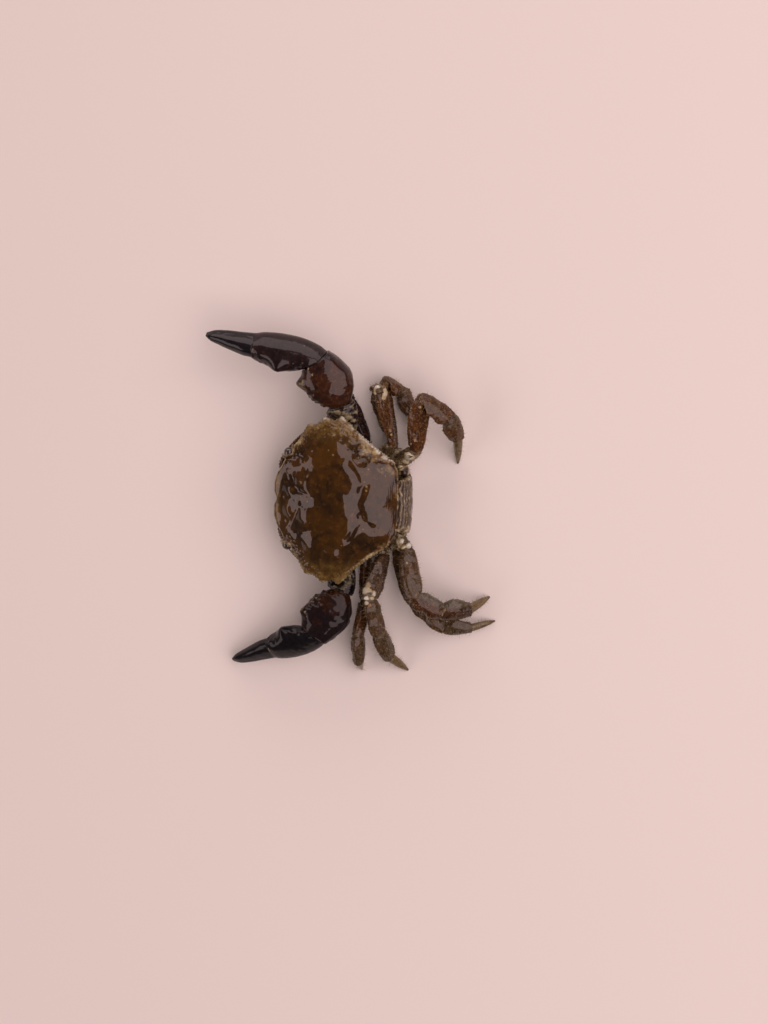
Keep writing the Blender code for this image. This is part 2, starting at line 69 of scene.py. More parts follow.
# %% [markdown]
# Camera
# The picture is a close view from almost straight above, 15 cm away, with the crab facing left.
# A camera can be turned with angles, but it is easier to say where it stands, what it looks at
# and which way is up in the picture, and to make its three axes from those. One small function
# puts the camera, the lamps and the meshes into the scene.

# %% Aim the camera
CAMERA_PLACE = Vector((-17.66, 22.92, 151.51))
CAMERA_TARGET = Vector((0.58, 2.74, 4.0))
# The top of the picture is the crab's right side, but for this small turn.
PICTURE_TURN = math.radians(1.5)
PICTURE_UP = Vector((-math.cos(PICTURE_TURN), -math.sin(PICTURE_TURN), 0.0))
SENSOR_HEIGHT = 36.0
FOCAL_LENGTH = 75.66


def add_object(name, data):
    """Puts a camera, a lamp or a mesh into the scene."""
    thing = bpy.data.objects.new(name, data)
    bpy.context.collection.objects.link(thing)
    return thing


camera_data = bpy.data.cameras.new("camera")
camera_data.sensor_fit = "VERTICAL"
camera_data.sensor_height = SENSOR_HEIGHT
camera_data.lens = FOCAL_LENGTH
camera_data.clip_start = 1 * MM
camera = add_object("camera", camera_data)
back = (CAMERA_PLACE - CAMERA_TARGET).normalized()
right = PICTURE_UP.cross(back).normalized()
above = back.cross(right)
turned = Matrix((right, above, back)).transposed().to_4x4()
camera.matrix_world = Matrix.Translation(CAMERA_PLACE * MM) @ turned
bpy.context.scene.camera = camera
print("camera height in mm:", round(CAMERA_PLACE.z, 1))

# %% [markdown]
# Light
# The shell is wet, so most of what the eye reads is the sky lying on it. An overcast sky is a
# soft box all round, but here much of it is blocked, which leaves the middle and the left of the
# shell dark and clear. Three panels are left of it: a wide one overhead, from just behind the
# crab backwards, one that stands in front, and a low one on the crab's right. Their crisp borders
# show on the shell, where its bumps break them up.

# %% Make the panels of sky
SKY_TONE = "#ffe5e4"
# The rest of the room gives a faint even light.
ROOM_TONE = "#f4e6e0"
ROOM_STRENGTH = 0.13


def sky_panel(name, place, look_at, width, tall, radiance):
    """A flat lamp at a place, turned to a point. Sizes are in millimetres."""
    lamp = bpy.data.lights.new(name, "AREA")
    lamp.shape = "RECTANGLE"
    lamp.size = width * MM
    lamp.size_y = tall * MM
    lamp.energy = radiance * math.pi * width * tall * MM * MM
    lamp.color = linear(SKY_TONE)[:3]
    panel = add_object(name, lamp)
    panel.location = Vector(place) * MM
    panel.rotation_euler = (Vector(place) - Vector(look_at)).to_track_quat("Z", "Y").to_euler()
    panel.visible_camera = False


sky_panel("sky_overhead", (-45, 430, 320), (-45, 430, 0), 730, 760, 2.45)
sky_panel("sky_front", (75, -340, 232), (15, -20, 0), 450, 174, 2.35)
sky_panel("sky_right", (-420, -60, 118), (0, -60, 0), 660, 236, 2.25)

world = bpy.data.worlds.new("dim_room")
world.use_nodes = True
room = world.node_tree.nodes["Background"].inputs
room["Color"].default_value = linear(ROOM_TONE)
room["Strength"].default_value = ROOM_STRENGTH
bpy.context.scene.world = world

# %% [markdown]
# Nodes and floor
# Every finish below is a small network of nodes. One helper adds a node, sets its properties,
# fills its inputs and links whatever input is given another node's output. The floor is a wide
# square of matte paper, the plainest finish of all.

# %% Add one node at a time


def fill(node, inputs):
    """Sets a node's inputs, by name or number, to a value or to another node's output."""
    for key, value in inputs.items():
        if isinstance(value, bpy.types.NodeSocket):
            node.id_data.links.new(value, node.inputs[key])
        else:
            node.inputs[key].default_value = value


def add_node(tree, kind, inputs, **settings):
    """Adds a node with its settings and fills its inputs."""
    node = tree.nodes.new(kind)
    for key, value in settings.items():
        setattr(node, key, value)
    fill(node, inputs)
    return node


def new_finish(name):
    """A new material, with its node tree and its shader."""
    material = bpy.data.materials.new(name)
    material.use_nodes = True
    return material, material.node_tree, material.node_tree.nodes["Principled BSDF"]


def per_mm(size):
    """The texture scale that makes a pattern's cells this many millimetres wide."""
    return 1 / (size * MM)


print("texture scale of a pattern of half a millimetre:", round(per_mm(0.5)))

# %% Lay the floor
FLOOR_REACH = 1.2
floor_corners = [(FLOOR_REACH * x, FLOOR_REACH * y, 0) for x, y in ((-1, -1), (1, -1), (1, 1), (-1, 1))]
floor_mesh = bpy.data.meshes.new("floor")
floor_mesh.from_pydata(floor_corners, [], [(0, 1, 2, 3)])
floor = add_object("floor", floor_mesh)

paper, _, paper_shader = new_finish("matte_backdrop_paper")
fill(paper_shader, {"Roughness": 0.9, "Base Color": linear("#dad4cf")})
floor_mesh.materials.append(paper)
print("floor width in m:", 2 * FLOOR_REACH)

# %% [markdown]
# Wet shell
# Crab shell is chitin hardened with lime. Its colour lies in the outer layer as clouds of dark
# and light pigment with pale flecks, and sea water fills the fine pores and stands on top as a
# smooth film. So the base is a fairly rough brown surface with a grain, and the coat is water:
# thin, very smooth, with its own gentler bumps. Each plate carries two painted values on its
# points: pale, where the shell runs out to cream and above 1 to the bare white lime of a knuckle,
# whose whitest top is a painted highlight, and trim, where a second colour takes over.

# %% Build the recipe for wet shell
# Chitin is about 1.54 in air. Under a film of sea water only the step from 1.36 to 1.54 is left.
SHELL_UNDER_WATER_IOR = 1.54 / 1.36
# The film is sea water with slime in it, a little denser than water alone.
WATER_IOR = 1.42
# A knuckle's bare lime, whitest as a painted highlight, and how strongly the flecks cover the pigment.
LIME_AND_HIGHLIGHT_TONES = ("#86826c", "#dcded4")
FLECK_STRENGTH = 0.42
# The width of the water's own ripples, in millimetres.
RIPPLE = 0.8


def wet_shell(name, tones, trim_tones, cloud_mm, fleck_mm, fleck_share, grain_mm, grain_depth,
              film_depth, roughness, film=1.0, film_roughness=0.05):
    """A pigmented shell under a film of water. Sizes and depths are in millimetres.

    The tones are deep, middle, light and pale, and film is the share that water covers."""
    material, tree, shader = new_finish(name)
    deep, middle, light, pale = tones
    trim, trim_light = trim_tones
    place = add_node(tree, "ShaderNodeTexCoord", {}).outputs["Object"]

    # Clouds of the deep and the middle tone, with a finer mist of the light one.
    cloud = add_node(tree, "ShaderNodeTexNoise", {"Vector": place, "Scale": per_mm(cloud_mm), "Detail": 5.0,
                                                  "Roughness": 0.62, "Distortion": 0.8}).outputs["Fac"]
    mist = add_node(tree, "ShaderNodeTexNoise", {"Vector": place, "Scale": per_mm(cloud_mm / 4),
                                                 "Detail": 4.0, "Roughness": 0.7}).outputs["Fac"]
    dark_share = add_node(tree, "ShaderNodeMapRange", {"Value": cloud, "From Min": 0.38, "From Max": 0.6})
    colour = add_node(tree, "ShaderNodeMix", {0: dark_share.outputs[0], 6: linear(deep), 7: linear(middle)},
                      data_type="RGBA")
    light_share = add_node(tree, "ShaderNodeMapRange", {"Value": mist, "From Min": 0.5, "From Max": 0.72,
                                                        "To Max": 0.8})
    colour = add_node(tree, "ShaderNodeMix", {0: light_share.outputs[0], 6: colour.outputs[2],
                                              7: linear(light)}, data_type="RGBA")

    # Flecks: a share of the cells of a fine mosaic, each of its own size.
    cells = add_node(tree, "ShaderNodeTexVoronoi", {"Vector": place, "Scale": per_mm(fleck_mm)})
    chance = add_node(tree, "ShaderNodeSeparateColor", {0: cells.outputs["Color"]})
    smaller = add_node(tree, "ShaderNodeMath", {0: chance.outputs[1], 1: 0.3, 2: cells.outputs["Distance"]},
                       operation="MULTIPLY_ADD")
    fleck = add_node(tree, "ShaderNodeMapRange", {"Value": smaller.outputs[0], "From Min": 0.42,
                                                  "From Max": 0.2})
    chosen = add_node(tree, "ShaderNodeMath", {0: chance.outputs[0], 1: 1 - fleck_share},
                      operation="GREATER_THAN")
    fleck = add_node(tree, "ShaderNodeMath", {0: fleck.outputs[0], 1: chosen.outputs[0]},
                     operation="MULTIPLY")
    fleck = add_node(tree, "ShaderNodeMath", {0: fleck.outputs[0], 1: FLECK_STRENGTH},
                     operation="MULTIPLY")
    colour = add_node(tree, "ShaderNodeMix", {0: fleck.outputs[0], 6: colour.outputs[2], 7: linear(pale)},
                      data_type="RGBA")

    # Edges worn pale in patches, and bare lime where pale goes above 1, whitest as a painted highlight
    # on the tops of knuckles.
    edge = add_node(tree, "ShaderNodeAttribute", {}, attribute_name="pale")
    patchy = add_node(tree, "ShaderNodeMath", {0: mist, 1: -0.5}, operation="ADD")
    patchy = add_node(tree, "ShaderNodeMath", {0: patchy.outputs[0], 1: 1.5, 2: edge.outputs["Fac"]},
                      operation="MULTIPLY_ADD")
    patchy = add_node(tree, "ShaderNodeMapRange", {"Value": patchy.outputs[0], "From Min": 0.25,
                                                   "From Max": 0.85})
    worn = add_node(tree, "ShaderNodeMix", {0: dark_share.outputs[0], 6: linear(light), 7: linear(pale)},
                    data_type="RGBA")
    colour = add_node(tree, "ShaderNodeMix", {0: patchy.outputs[0], 6: colour.outputs[2],
                                              7: worn.outputs[2]}, data_type="RGBA")
    lime_and_highlight_share = add_node(tree, "ShaderNodeMapRange", {"Value": edge.outputs["Fac"], "From Min": 1.15,
                                                 "From Max": 1.8})
    # Bare lime, which at the tops of knuckles stands for a painted highlight.
    lime = add_node(tree, "ShaderNodeMix", {0: mist, 6: linear(LIME_AND_HIGHLIGHT_TONES[0]), 7: linear(LIME_AND_HIGHLIGHT_TONES[1])},
                    data_type="RGBA")
    colour = add_node(tree, "ShaderNodeMix", {0: lime_and_highlight_share.outputs[0], 6: colour.outputs[2], 7: lime.outputs[2]},
                      data_type="RGBA")

    # The second colour, where trim asks for it.
    second = add_node(tree, "ShaderNodeAttribute", {}, attribute_name="trim")
    tinge = add_node(tree, "ShaderNodeMapRange", {"Value": mist, "From Min": 0.4, "From Max": 0.68})
    tinge = add_node(tree, "ShaderNodeMix", {0: tinge.outputs[0], 6: linear(trim), 7: linear(trim_light)},
                     data_type="RGBA")
    colour = add_node(tree, "ShaderNodeMix", {0: second.outputs["Fac"], 6: colour.outputs[2],
                                              7: tinge.outputs[2]}, data_type="RGBA")

    # The shell's own grain and pores, and the longer ripples of the water on it.
    grain = add_node(tree, "ShaderNodeTexVoronoi", {"Vector": place, "Scale": per_mm(grain_mm)})
    pores = add_node(tree, "ShaderNodeTexNoise", {"Vector": place, "Scale": per_mm(grain_mm / 2),
                                                  "Detail": 3.0})
    rough = add_node(tree, "ShaderNodeMath", {0: grain.outputs["Distance"], 1: -1.0, 2: pores.outputs["Fac"]},
                     operation="MULTIPLY_ADD")
    base_bump = add_node(tree, "ShaderNodeBump", {"Height": rough.outputs[0], "Strength": 1.0,
                                                  "Distance": grain_depth * MM})
    ripple = add_node(tree, "ShaderNodeTexNoise", {"Vector": place, "Scale": per_mm(RIPPLE), "Detail": 2.0,
                                                   "Roughness": 0.5})
    film_bump = add_node(tree, "ShaderNodeBump", {"Height": ripple.outputs["Fac"], "Strength": 1.0,
                                                  "Distance": film_depth * MM})
    dull = add_node(tree, "ShaderNodeMapRange", {"Value": mist, "To Min": roughness - 0.08,
                                                 "To Max": roughness + 0.1})
    fill(shader, {"Base Color": colour.outputs[2], "Roughness": dull.outputs[0],
                  "Normal": base_bump.outputs[0], "Coat Normal": film_bump.outputs[0],
                  "IOR": SHELL_UNDER_WATER_IOR, "Coat IOR": WATER_IOR, "Coat Weight": film,
                  "Coat Roughness": film_roughness})
    return material


print("the shell's IOR under water:", round(SHELL_UNDER_WATER_IOR, 3))

# %% [markdown]
# Shell finishes
# One recipe serves the whole crab, because it is all one material. What changes from plate to
# plate is its pigment, how coarse its clouds and flecks are, and how much water still lies on it:
# it drains off the claws and the thin legs, so the film covers them only in part, and on the
# smooth claws what is left of it mirrors less sharply.

# %% Mix the shell finishes
# The back is an amber brown with olive, sandy edges, and a clear amber lip along the front.
BACK_SHELL = wet_shell("wet_amber_back_shell", ("#1f1001", "#3c2402", "#4f3108", "#a5976c"),
                       ("#4b3410", "#6b5628"), cloud_mm=1.9, fleck_mm=0.3, fleck_share=0.06,
                       grain_mm=0.11, grain_depth=0.006, film_depth=0.02, roughness=0.42)
# The belly and the tail are thin pale shell with brown clouds and dark brown bands.
BELLY_SHELL = wet_shell("damp_pale_belly_shell", ("#3a2c1c", "#5e4e36", "#83734f", "#c4b898"),
                        ("#1d1410", "#3a2a22"), cloud_mm=0.9, fleck_mm=0.2, fleck_share=0.3,
                        grain_mm=0.12, grain_depth=0.012, film_depth=0.03, roughness=0.45)

CLAW_SURFACE = {"grain_mm": 0.16, "grain_depth": 0.005, "film_depth": 0.02, "roughness": 0.38}
PALM_MARKS = {"cloud_mm": 1.1, "fleck_mm": 0.3, "fleck_share": 0.05, "film_roughness": 0.09}
WRIST_MARKS = {"cloud_mm": 1.0, "fleck_mm": 0.26, "fleck_share": 0.1}
# Claws are dark purple brown with a smooth polish and almost black horn at the fingers.
CLAW_SHELL = wet_shell("wet_dark_claw_shell", ("#10080a", "#1c0f11", "#33201b", "#8c8366"),
                       ("#0d0a0d", "#17121a"), film=0.75, **PALM_MARKS, **CLAW_SURFACE)
# The wrists run from red brown to the dark of the claws.
WRIST_SHELL = wet_shell("wet_red_brown_wrist_shell", ("#1c0d09", "#351a0c", "#54341b", "#9a9070"),
                        ("#150b0d", "#22151a"), film=0.75, **WRIST_MARKS, **CLAW_SURFACE)
# The left claw is darker than the right and has drained further. Its darker tones are partly its
# own colour and partly painted shade, as the crab's left side lies in shade.
SHADED_BLACK_CLAW_SHELL = wet_shell("wet_black_claw_shell_painted_shade", ("#0b0708", "#130d0e", "#251b18", "#8c8366"),
                             ("#09080a", "#110e14"), film=0.5, **PALM_MARKS, **CLAW_SURFACE)
SHADED_DARK_WRIST_SHELL = wet_shell("wet_dark_wrist_shell_painted_shade", ("#160a06", "#2a1408", "#462a14", "#9a9070"),
                             ("#120a0b", "#1c1215"), film=0.5, **WRIST_MARKS, **CLAW_SURFACE)
CLAW_FINISHES = {"right": (CLAW_SHELL, WRIST_SHELL), "left": (SHADED_BLACK_CLAW_SHELL, SHADED_DARK_WRIST_SHELL)}

LEG_SURFACE = {"cloud_mm": 0.8, "fleck_mm": 0.17, "grain_mm": 0.09, "grain_depth": 0.008,
               "film_depth": 0.035, "roughness": 0.42, "film": 0.75}
# Legs are orange brown to olive grey with dense pale flecks.
LEG_SHELL = wet_shell("wet_flecked_leg_shell", ("#281206", "#4e2b10", "#77542c", "#aaa07c"),
                      ("#30261a", "#54452e"), fleck_share=0.45, **LEG_SURFACE)
# The second right leg lies under the claw's arm and is painted nearly as dark as the claw: painted
# shade cast by the arm.
SHADED_UNDER_ARM_LEG_SHELL = wet_shell("wet_leg_shell_painted_shade", ("#1a0d0a", "#2e1812", "#45281a", "#9a9070"),
                           ("#17121a", "#2a2024"), fleck_share=0.3, **LEG_SURFACE)
# Past its knee the left last leg is dark orange brown, partly its own colour and partly painted
# shade of the crab's left side, and grey along its side towards the crab's right.
SHADED_ORANGE_LEG_SHELL = wet_shell("wet_dark_orange_leg_shell_painted_shade", ("#1e0d05", "#3c210d", "#5e4022", "#9a9070"),
                             ("#3e372b", "#5e5444"), fleck_share=0.35, **LEG_SURFACE)
# The toes are olive horn, amber at the points.
TOE_HORN = wet_shell("damp_olive_toe_horn", ("#453822", "#625236", "#7c6c48", "#9c9068"),
                     ("#4a3014", "#5c4424"), cloud_mm=0.5, fleck_mm=0.16, fleck_share=0.25,
                     grain_mm=0.08, grain_depth=0.005, film_depth=0.03, roughness=0.4)
print("materials so far:", len(bpy.data.materials))

# %% [markdown]
# Eye and bristle
# Two small finishes are left. The eye is a dark glass-like cornea over hundreds of cells, and
# bristles are clear brown chitin.

# %% Make the small finishes
# An eye's cells are this wide and stand out this far, in millimetres.
EYE_CELL = 0.045
EYE_CELL_RELIEF = 0.004
cornea, tree, shader = new_finish("wet_black_cornea")
place = add_node(tree, "ShaderNodeTexCoord", {}).outputs["Object"]
facets = add_node(tree, "ShaderNodeTexVoronoi", {"Vector": place, "Scale": per_mm(EYE_CELL)})
facet_bump = add_node(tree, "ShaderNodeBump", {"Height": facets.outputs["Distance"], "Strength": 0.5,
                                               "Distance": EYE_CELL_RELIEF * MM}, invert=True)
# Each cell is lighter towards its rim: a painted sheen on the dark cornea.
painted_facet_sheen = add_node(tree, "ShaderNodeMix", {0: facets.outputs["Distance"], 6: linear("#16120f"),
                                         7: linear("#3a3028")}, data_type="RGBA")
fill(shader, {"Base Color": painted_facet_sheen.outputs[2], "Normal": facet_bump.outputs[0], "Roughness": 0.2,
              "Coat Weight": 1.0, "Coat IOR": WATER_IOR})

bristle, tree, shader = new_finish("clear_brown_bristle")
place = add_node(tree, "ShaderNodeTexCoord", {}).outputs["Object"]
streak = add_node(tree, "ShaderNodeTexNoise", {"Vector": place, "Scale": per_mm(0.4)})
streak = add_node(tree, "ShaderNodeMix", {0: streak.outputs["Fac"], 6: linear("#5a4020"),
                                          7: linear("#b59a62")}, data_type="RGBA")
fill(shader, {"Base Color": streak.outputs[2], "Roughness": 0.35})
print("materials in all:", len(bpy.data.materials))

# %% [markdown]
# Surfaces from rings
# Nearly every part of a crab is a tube that swells, narrows and closes. Such a surface can be a
# subdivided box, a curve with a bevel, or a stack of rings. Rings are chosen because the solids
# were made that way, so the same tables give the same shape, and because the points stay in rows
# where beads and wrinkles can be found by their place.

# %% Read tables smoothly


def unit(v):
    """The same directions with a length of 1."""
    return v / np.linalg.norm(v, axis=-1, keepdims=True)


def smooth_step(low, high, value):
    """Runs smoothly from 0 at low to 1 at high, whichever of the two is larger."""
    t = np.clip((value - low) / (high - low), 0, 1)
    return t * t * (3 - 2 * t)


def bell(value, centre, width):
    """A smooth hump: 1 at its centre and about a third at one width from it."""
    return np.exp(-(((value - centre) / width) ** 2))


def flow(rows, shares):
    """Reads a table of widths at any share of a piece's length, in smooth curves."""
    rows = np.array(rows, float)
    at = rows[:, 0]
    values = rows[:, 1:]
    slope = np.gradient(values, at, axis=0)
    i = np.clip(np.searchsorted(at, shares, side="right") - 1, 0, len(at) - 2)
    gap = (at[i + 1] - at[i])[:, None]
    t = (shares - at[i])[:, None] / gap
    a = (2 * t**3 - 3 * t**2 + 1) * values[i] + (t**3 - 2 * t**2 + t) * gap * slope[i]
    b = (3 * t**2 - 2 * t**3) * values[i + 1] + (t**3 - t**2) * gap * slope[i + 1]
    return a + b


def lumps(points, size, seed=0):
    """Smooth random swellings between about -1 and 1, each about size millimetres wide."""
    rows = points.reshape(-1, 3) / size + seed * 7.31
    return np.array([noise.noise(p) for p in rows.tolist()]).reshape(points.shape[:-1])


print("half way up a smooth step:", smooth_step(0, 2, 1.0))

# %% Skin the rings
UPWARDS = np.array([0.0, 0.0, 1.0])


def oval_rings(centre, normal, crown, wide, deep, crest, sides, boxiness=2.4):
    """Rings of one limb: column 0 lies on the crown, and crest raises it to a ridge.

    All but the centres may be the same for every ring. A boxiness of 2 gives ellipses."""
    count = len(centre)
    normal = np.broadcast_to(normal, (count, 3))
    wide, deep, crest = [np.broadcast_to(size, count)[:, None] for size in (wide, deep, crest)]
    across = unit(np.cross(crown, normal))
    up = np.cross(unit(normal), across)
    angle = np.arange(sides) / sides * math.tau + math.pi / 2
    c = np.cos(angle)
    s = np.sin(angle)
    reach = (abs(c) ** boxiness + abs(s) ** boxiness) ** (-1 / boxiness)
    high = deep * (reach * s) + crest * np.maximum(s, 0) ** 6
    side = wide * (reach * c)
    return centre[:, None] + across[:, None] * side[..., None] + up[:, None] * high[..., None]


def outward(grid):
    """The direction out of the surface at each point of a grid of rings."""
    around = np.roll(grid, -1, axis=1) - np.roll(grid, 1, axis=1)
    along = np.gradient(grid, axis=0)
    normal = np.cross(around, along)
    normal /= np.linalg.norm(normal, axis=-1, keepdims=True) + 1e-9
    middle = grid.mean(axis=1, keepdims=True)
    return normal if (normal * (grid - middle)).sum() > 0 else -normal


def swell(grid, height):
    """Moves the points of a grid out of its surface, each by its height."""
    return grid + outward(grid) * height[..., None]


def press_on_floor(grid):
    """Flattens whatever would reach below the floor."""
    grid[..., 2] = np.maximum(grid[..., 2], 0.0)


def hang(name, mesh, material):
    """Puts a mesh on the frame, with its finish."""
    mesh.shade_smooth()
    mesh.materials.append(material)
    piece = add_object(name, mesh)
    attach(piece, "root")
    return piece


def make_piece(name, grids, material, nodes):
    """Skins grids of rings, closes their ends, and hangs the piece on the frame.

    Each grid is its points, its pale values and its trim values, or one value for all points."""
    points = []
    faces = []
    painted = {"pale": [], "trim": []}
    for grid, *values in grids:
        rows, sides = grid.shape[:2]
        start = len(points)
        points += grid.reshape(-1, 3).tolist()
        points += [grid[0].mean(axis=0).tolist(), grid[-1].mean(axis=0).tolist()]
        for label, value in zip(painted, values):
            value = np.broadcast_to(value, (rows, sides))
            painted[label] += np.ravel(value).tolist() + [value[0].mean(), value[-1].mean()]
        skin = []
        for r in range(rows - 1):
            low = start + r * sides
            skin += [(low + i, low + (i + 1) % sides, low + sides + (i + 1) % sides, low + sides + i)
                     for i in range(sides)]
        pole = start + rows * sides
        skin += [(start + (i + 1) % sides, start + i, pole) for i in range(sides)]
        top = start + (rows - 1) * sides
        skin += [(top + i, top + (i + 1) % sides, pole + 1) for i in range(sides)]
        around = np.roll(grid, -1, axis=1) - grid
        facing = np.cross(around[:-1], grid[1:] - grid[:-1])
        inside_out = (facing * (grid[:-1] - grid.mean(axis=(0, 1)))).sum() < 0
        faces += [face[::-1] for face in skin] if inside_out else skin
    mesh = bpy.data.meshes.new(name)
    mesh.from_pydata((np.array(points) * MM).tolist(), [], faces)
    for label, values in painted.items():
        mesh.attributes.new(label, "FLOAT", "POINT").data.foreach_set("value", values)
    piece = hang(name, mesh, material)
    if nodes:
        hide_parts(*nodes)


test_rings = oval_rings(np.array([[0.0, 0, 0], [0, 1, 0]]), [0.0, 1, 0], UPWARDS, 1.0, 0.5, 0.0, 8, 2.0)
print("two test rings are", np.ptp(test_rings[..., 0]).round(2), "mm wide")

# %% [markdown]
# Beads and knuckles
# Granules cover a crab's shell wherever it rubs or grips. They could be painted as bumps, but the
# outline would stay smooth, so each bead lifts the mesh itself. A knuckle is a larger knob beside
# a joint, worn to white lime or polished dark. Its white is brightest at the top, a painted
# highlight, and a dark knob sunk into a dent is painted shade in the socket of a joint.

# %% Scatter and raise beads


def scatter(grid, chance, gap, seed):
    """Picks points of a grid at random where chance is high, never closer than gap."""
    picker = np.random.default_rng(seed)
    flat = grid.reshape(-1, 3)
    order = picker.permutation(len(flat))
    order = order[picker.random(len(order)) < np.ravel(chance)[order]]
    taken = np.zeros((0, 3))
    kept = []
    for i in order:
        if len(taken) and ((taken - flat[i]) ** 2).sum(axis=1).min() < gap * gap:
            continue
        taken = np.vstack([taken, flat[i]])
        kept.append(flat[i])
    return kept


def sprinkle(grid, chance, gap, radius, height, seed):
    """Beads of one size where chance is high: each is a place, a radius and a height."""
    return [(spot, radius, height) for spot in scatter(grid, chance, gap, seed)]


def raise_beads(grid, beads):
    """Lifts round beads with flat tops. Returns the grid and how far each point was lifted."""
    normal = outward(grid).reshape(-1, 3)
    flat = grid.reshape(-1, 3)
    tree = KDTree(len(flat))
    for i, point in enumerate(flat.tolist()):
        tree.insert(point, i)
    tree.balance()
    lift = np.zeros(len(flat))
    for spot, radius, height in beads:
        for _, i, distance in tree.find_range(Vector(spot), radius * 1.6):
            dome = height * math.exp(-1.4 * (distance / radius) ** 2.6)
            lift[i] = max(lift[i], dome)
    raised = (flat + normal * lift[:, None]).reshape(grid.shape)
    return raised, lift.reshape(grid.shape[:2])


def raise_knuckles(grid, pale, trim, knobs):
    """Lifts the knobs of a joint, each a place seen from above, a radius, a height and a colour.

    Colour 1 is white lime, whitest at the top as a painted highlight, and colour -1 dark polished
    horn, which on a dent of negative height is painted shade."""
    for x, y, radius, height, colour in knobs:
        away = np.hypot(grid[..., 0] - x, grid[..., 1] - y)
        close = grid[away < away.min() + 0.12]
        distance = np.linalg.norm(grid - close[close[:, 2].argmax()], axis=-1)
        distance = distance * (1 + 0.3 * lumps(grid, 0.14, radius * 100))
        dome = np.exp(-1.6 * (distance / radius) ** 2.4)
        grid = grid + outward(grid) * (height * dome)[..., None]
        # The colour is strongest at the knob's top: a painted highlight on white, painted shade on a dark
        # dent.
        rim = smooth_step(0.3, 0.75, dome)
        pale = pale + rim * (1.9 * colour - pale if colour > 0 else -pale)
        trim = trim + rim * (-trim if colour > 0 else 1 - trim)
    return grid, pale, trim


print("a swell of 1 mm at two places:", lumps(np.array([[0.1, 0.2, 0.3], [1.4, 2, 0.5]]), 1.0).round(2))

# %% [markdown]
# Carapace
# The back is one broad plate, six-sided with rounded corners: a thin lip with a notch in front,
# a hollow for each eye, four blunt teeth on each side, then a straight slope in to the narrow
# back edge. It could be sculpted, or subdivided from a coarse cage. Here the outline is a loop
# that shrinks towards the middle ring by ring, and a wave filter rounds the teeth away as it
# goes, just as the teeth of a real crab run out into the smooth back.

# %% Draw the carapace's outline
CARAPACE_HEIGHT = 5.1
CARAPACE_UNDERSIDE = 1.85
MARGIN_HEIGHT = 3.4
FRONT_HEIGHT = 3.45
REAR_HEIGHT = 3.35
MARGIN_EDGE = 0.45
CARAPACE_CENTRE = complex(0.0, -0.75)
OUTLINE_POINTS = 640

FRONT_EDGE = [(0.0, -5.0), (0.5, -5.2), (1.2, -5.18), (1.85, -4.98), (2.3, -4.7)]
ORBIT_EDGE = [(2.75, -4.5), (3.3, -4.2)]
SIDE_TEETH = [(3.8, -3.8), (4.15, -3.5), (4.7, -3.2), (5.33, -2.85), (5.3, -2.3), (5.9, -1.65),
              (5.6, -1.0), (5.98, -0.5), (5.5, -0.05)]
REAR_EDGE = [(4.95, 0.45), (4.45, 1.05), (4.0, 1.6), (3.45, 2.35), (2.85, 3.2)]
BACK_EDGE = [(2.3, 3.5), (1.5, 3.62), (0.75, 3.66), (0.0, 3.67)]

left_half = FRONT_EDGE + ORBIT_EDGE + SIDE_TEETH + REAR_EDGE + BACK_EDGE
corners = np.array(left_half + [(-x, y) for x, y in reversed(left_half[1:-1])])


def length_along(points):
    """How far along a line of points each of them lies."""
    return np.concatenate([[0], np.cumsum(np.linalg.norm(np.diff(points, axis=0), axis=1))])


closed = np.vstack([corners, corners[:1]])
run_length = length_along(closed)
even = np.linspace(0, run_length[-1], OUTLINE_POINTS, endpoint=False)
outline = np.interp(even, run_length, closed[:, 0]) + 1j * np.interp(even, run_length, closed[:, 1])
OUTLINE_STEP = run_length[-1] / OUTLINE_POINTS


def round_off(loop, reach):
    """Rounds a closed loop by fading its short waves; reach is in millimetres."""
    waves = np.fft.fftfreq(len(loop), d=OUTLINE_STEP)
    return np.fft.ifft(np.fft.fft(loop) * np.exp(-0.5 * (math.tau * waves * reach) ** 2))


print("carapace in mm:", round(np.ptp(outline.real), 2), "wide,", round(np.ptp(outline.imag), 2), "long")

# %% [markdown]
# Swells and grooves of the back
# The back is divided by shallow grooves into regions that lie over the stomach, heart and gills.
# Broad round swells make the regions. Narrow valleys between them make the grooves. On top come
# smaller lumps in front and at the sides, and beads along the edge.

# %% Raise the back's regions
# Swells: place, half width and height, on the left side and mirrored.
REGIONS = [(0.0, -2.0, 0.45, 0.16), (1.3, -2.7, 0.70, 0.26), (0.75, -4.1, 0.45, 0.16),
           (3.2, -2.4, 0.65, 0.22), (4.0, -0.7, 0.80, 0.22), (0.0, -0.1, 0.85, 0.20),
           (2.3, 0.7, 0.95, 0.24), (0.0, 2.2, 0.95, 0.22), (0.0, 3.0, 0.55, 0.06)]
# Grooves: two ends, half width and depth, on the left side and mirrored.
GROOVES = [((0.0, 0.95), (0.95, 1.2), 0.34, 0.12), ((0.95, 1.2), (1.8, 1.9), 0.32, 0.13),
           ((1.5, 0.95), (2.6, 0.25), 0.26, 0.12), ((0.75, -3.3), (1.9, -3.9), 0.2, 0.08)]
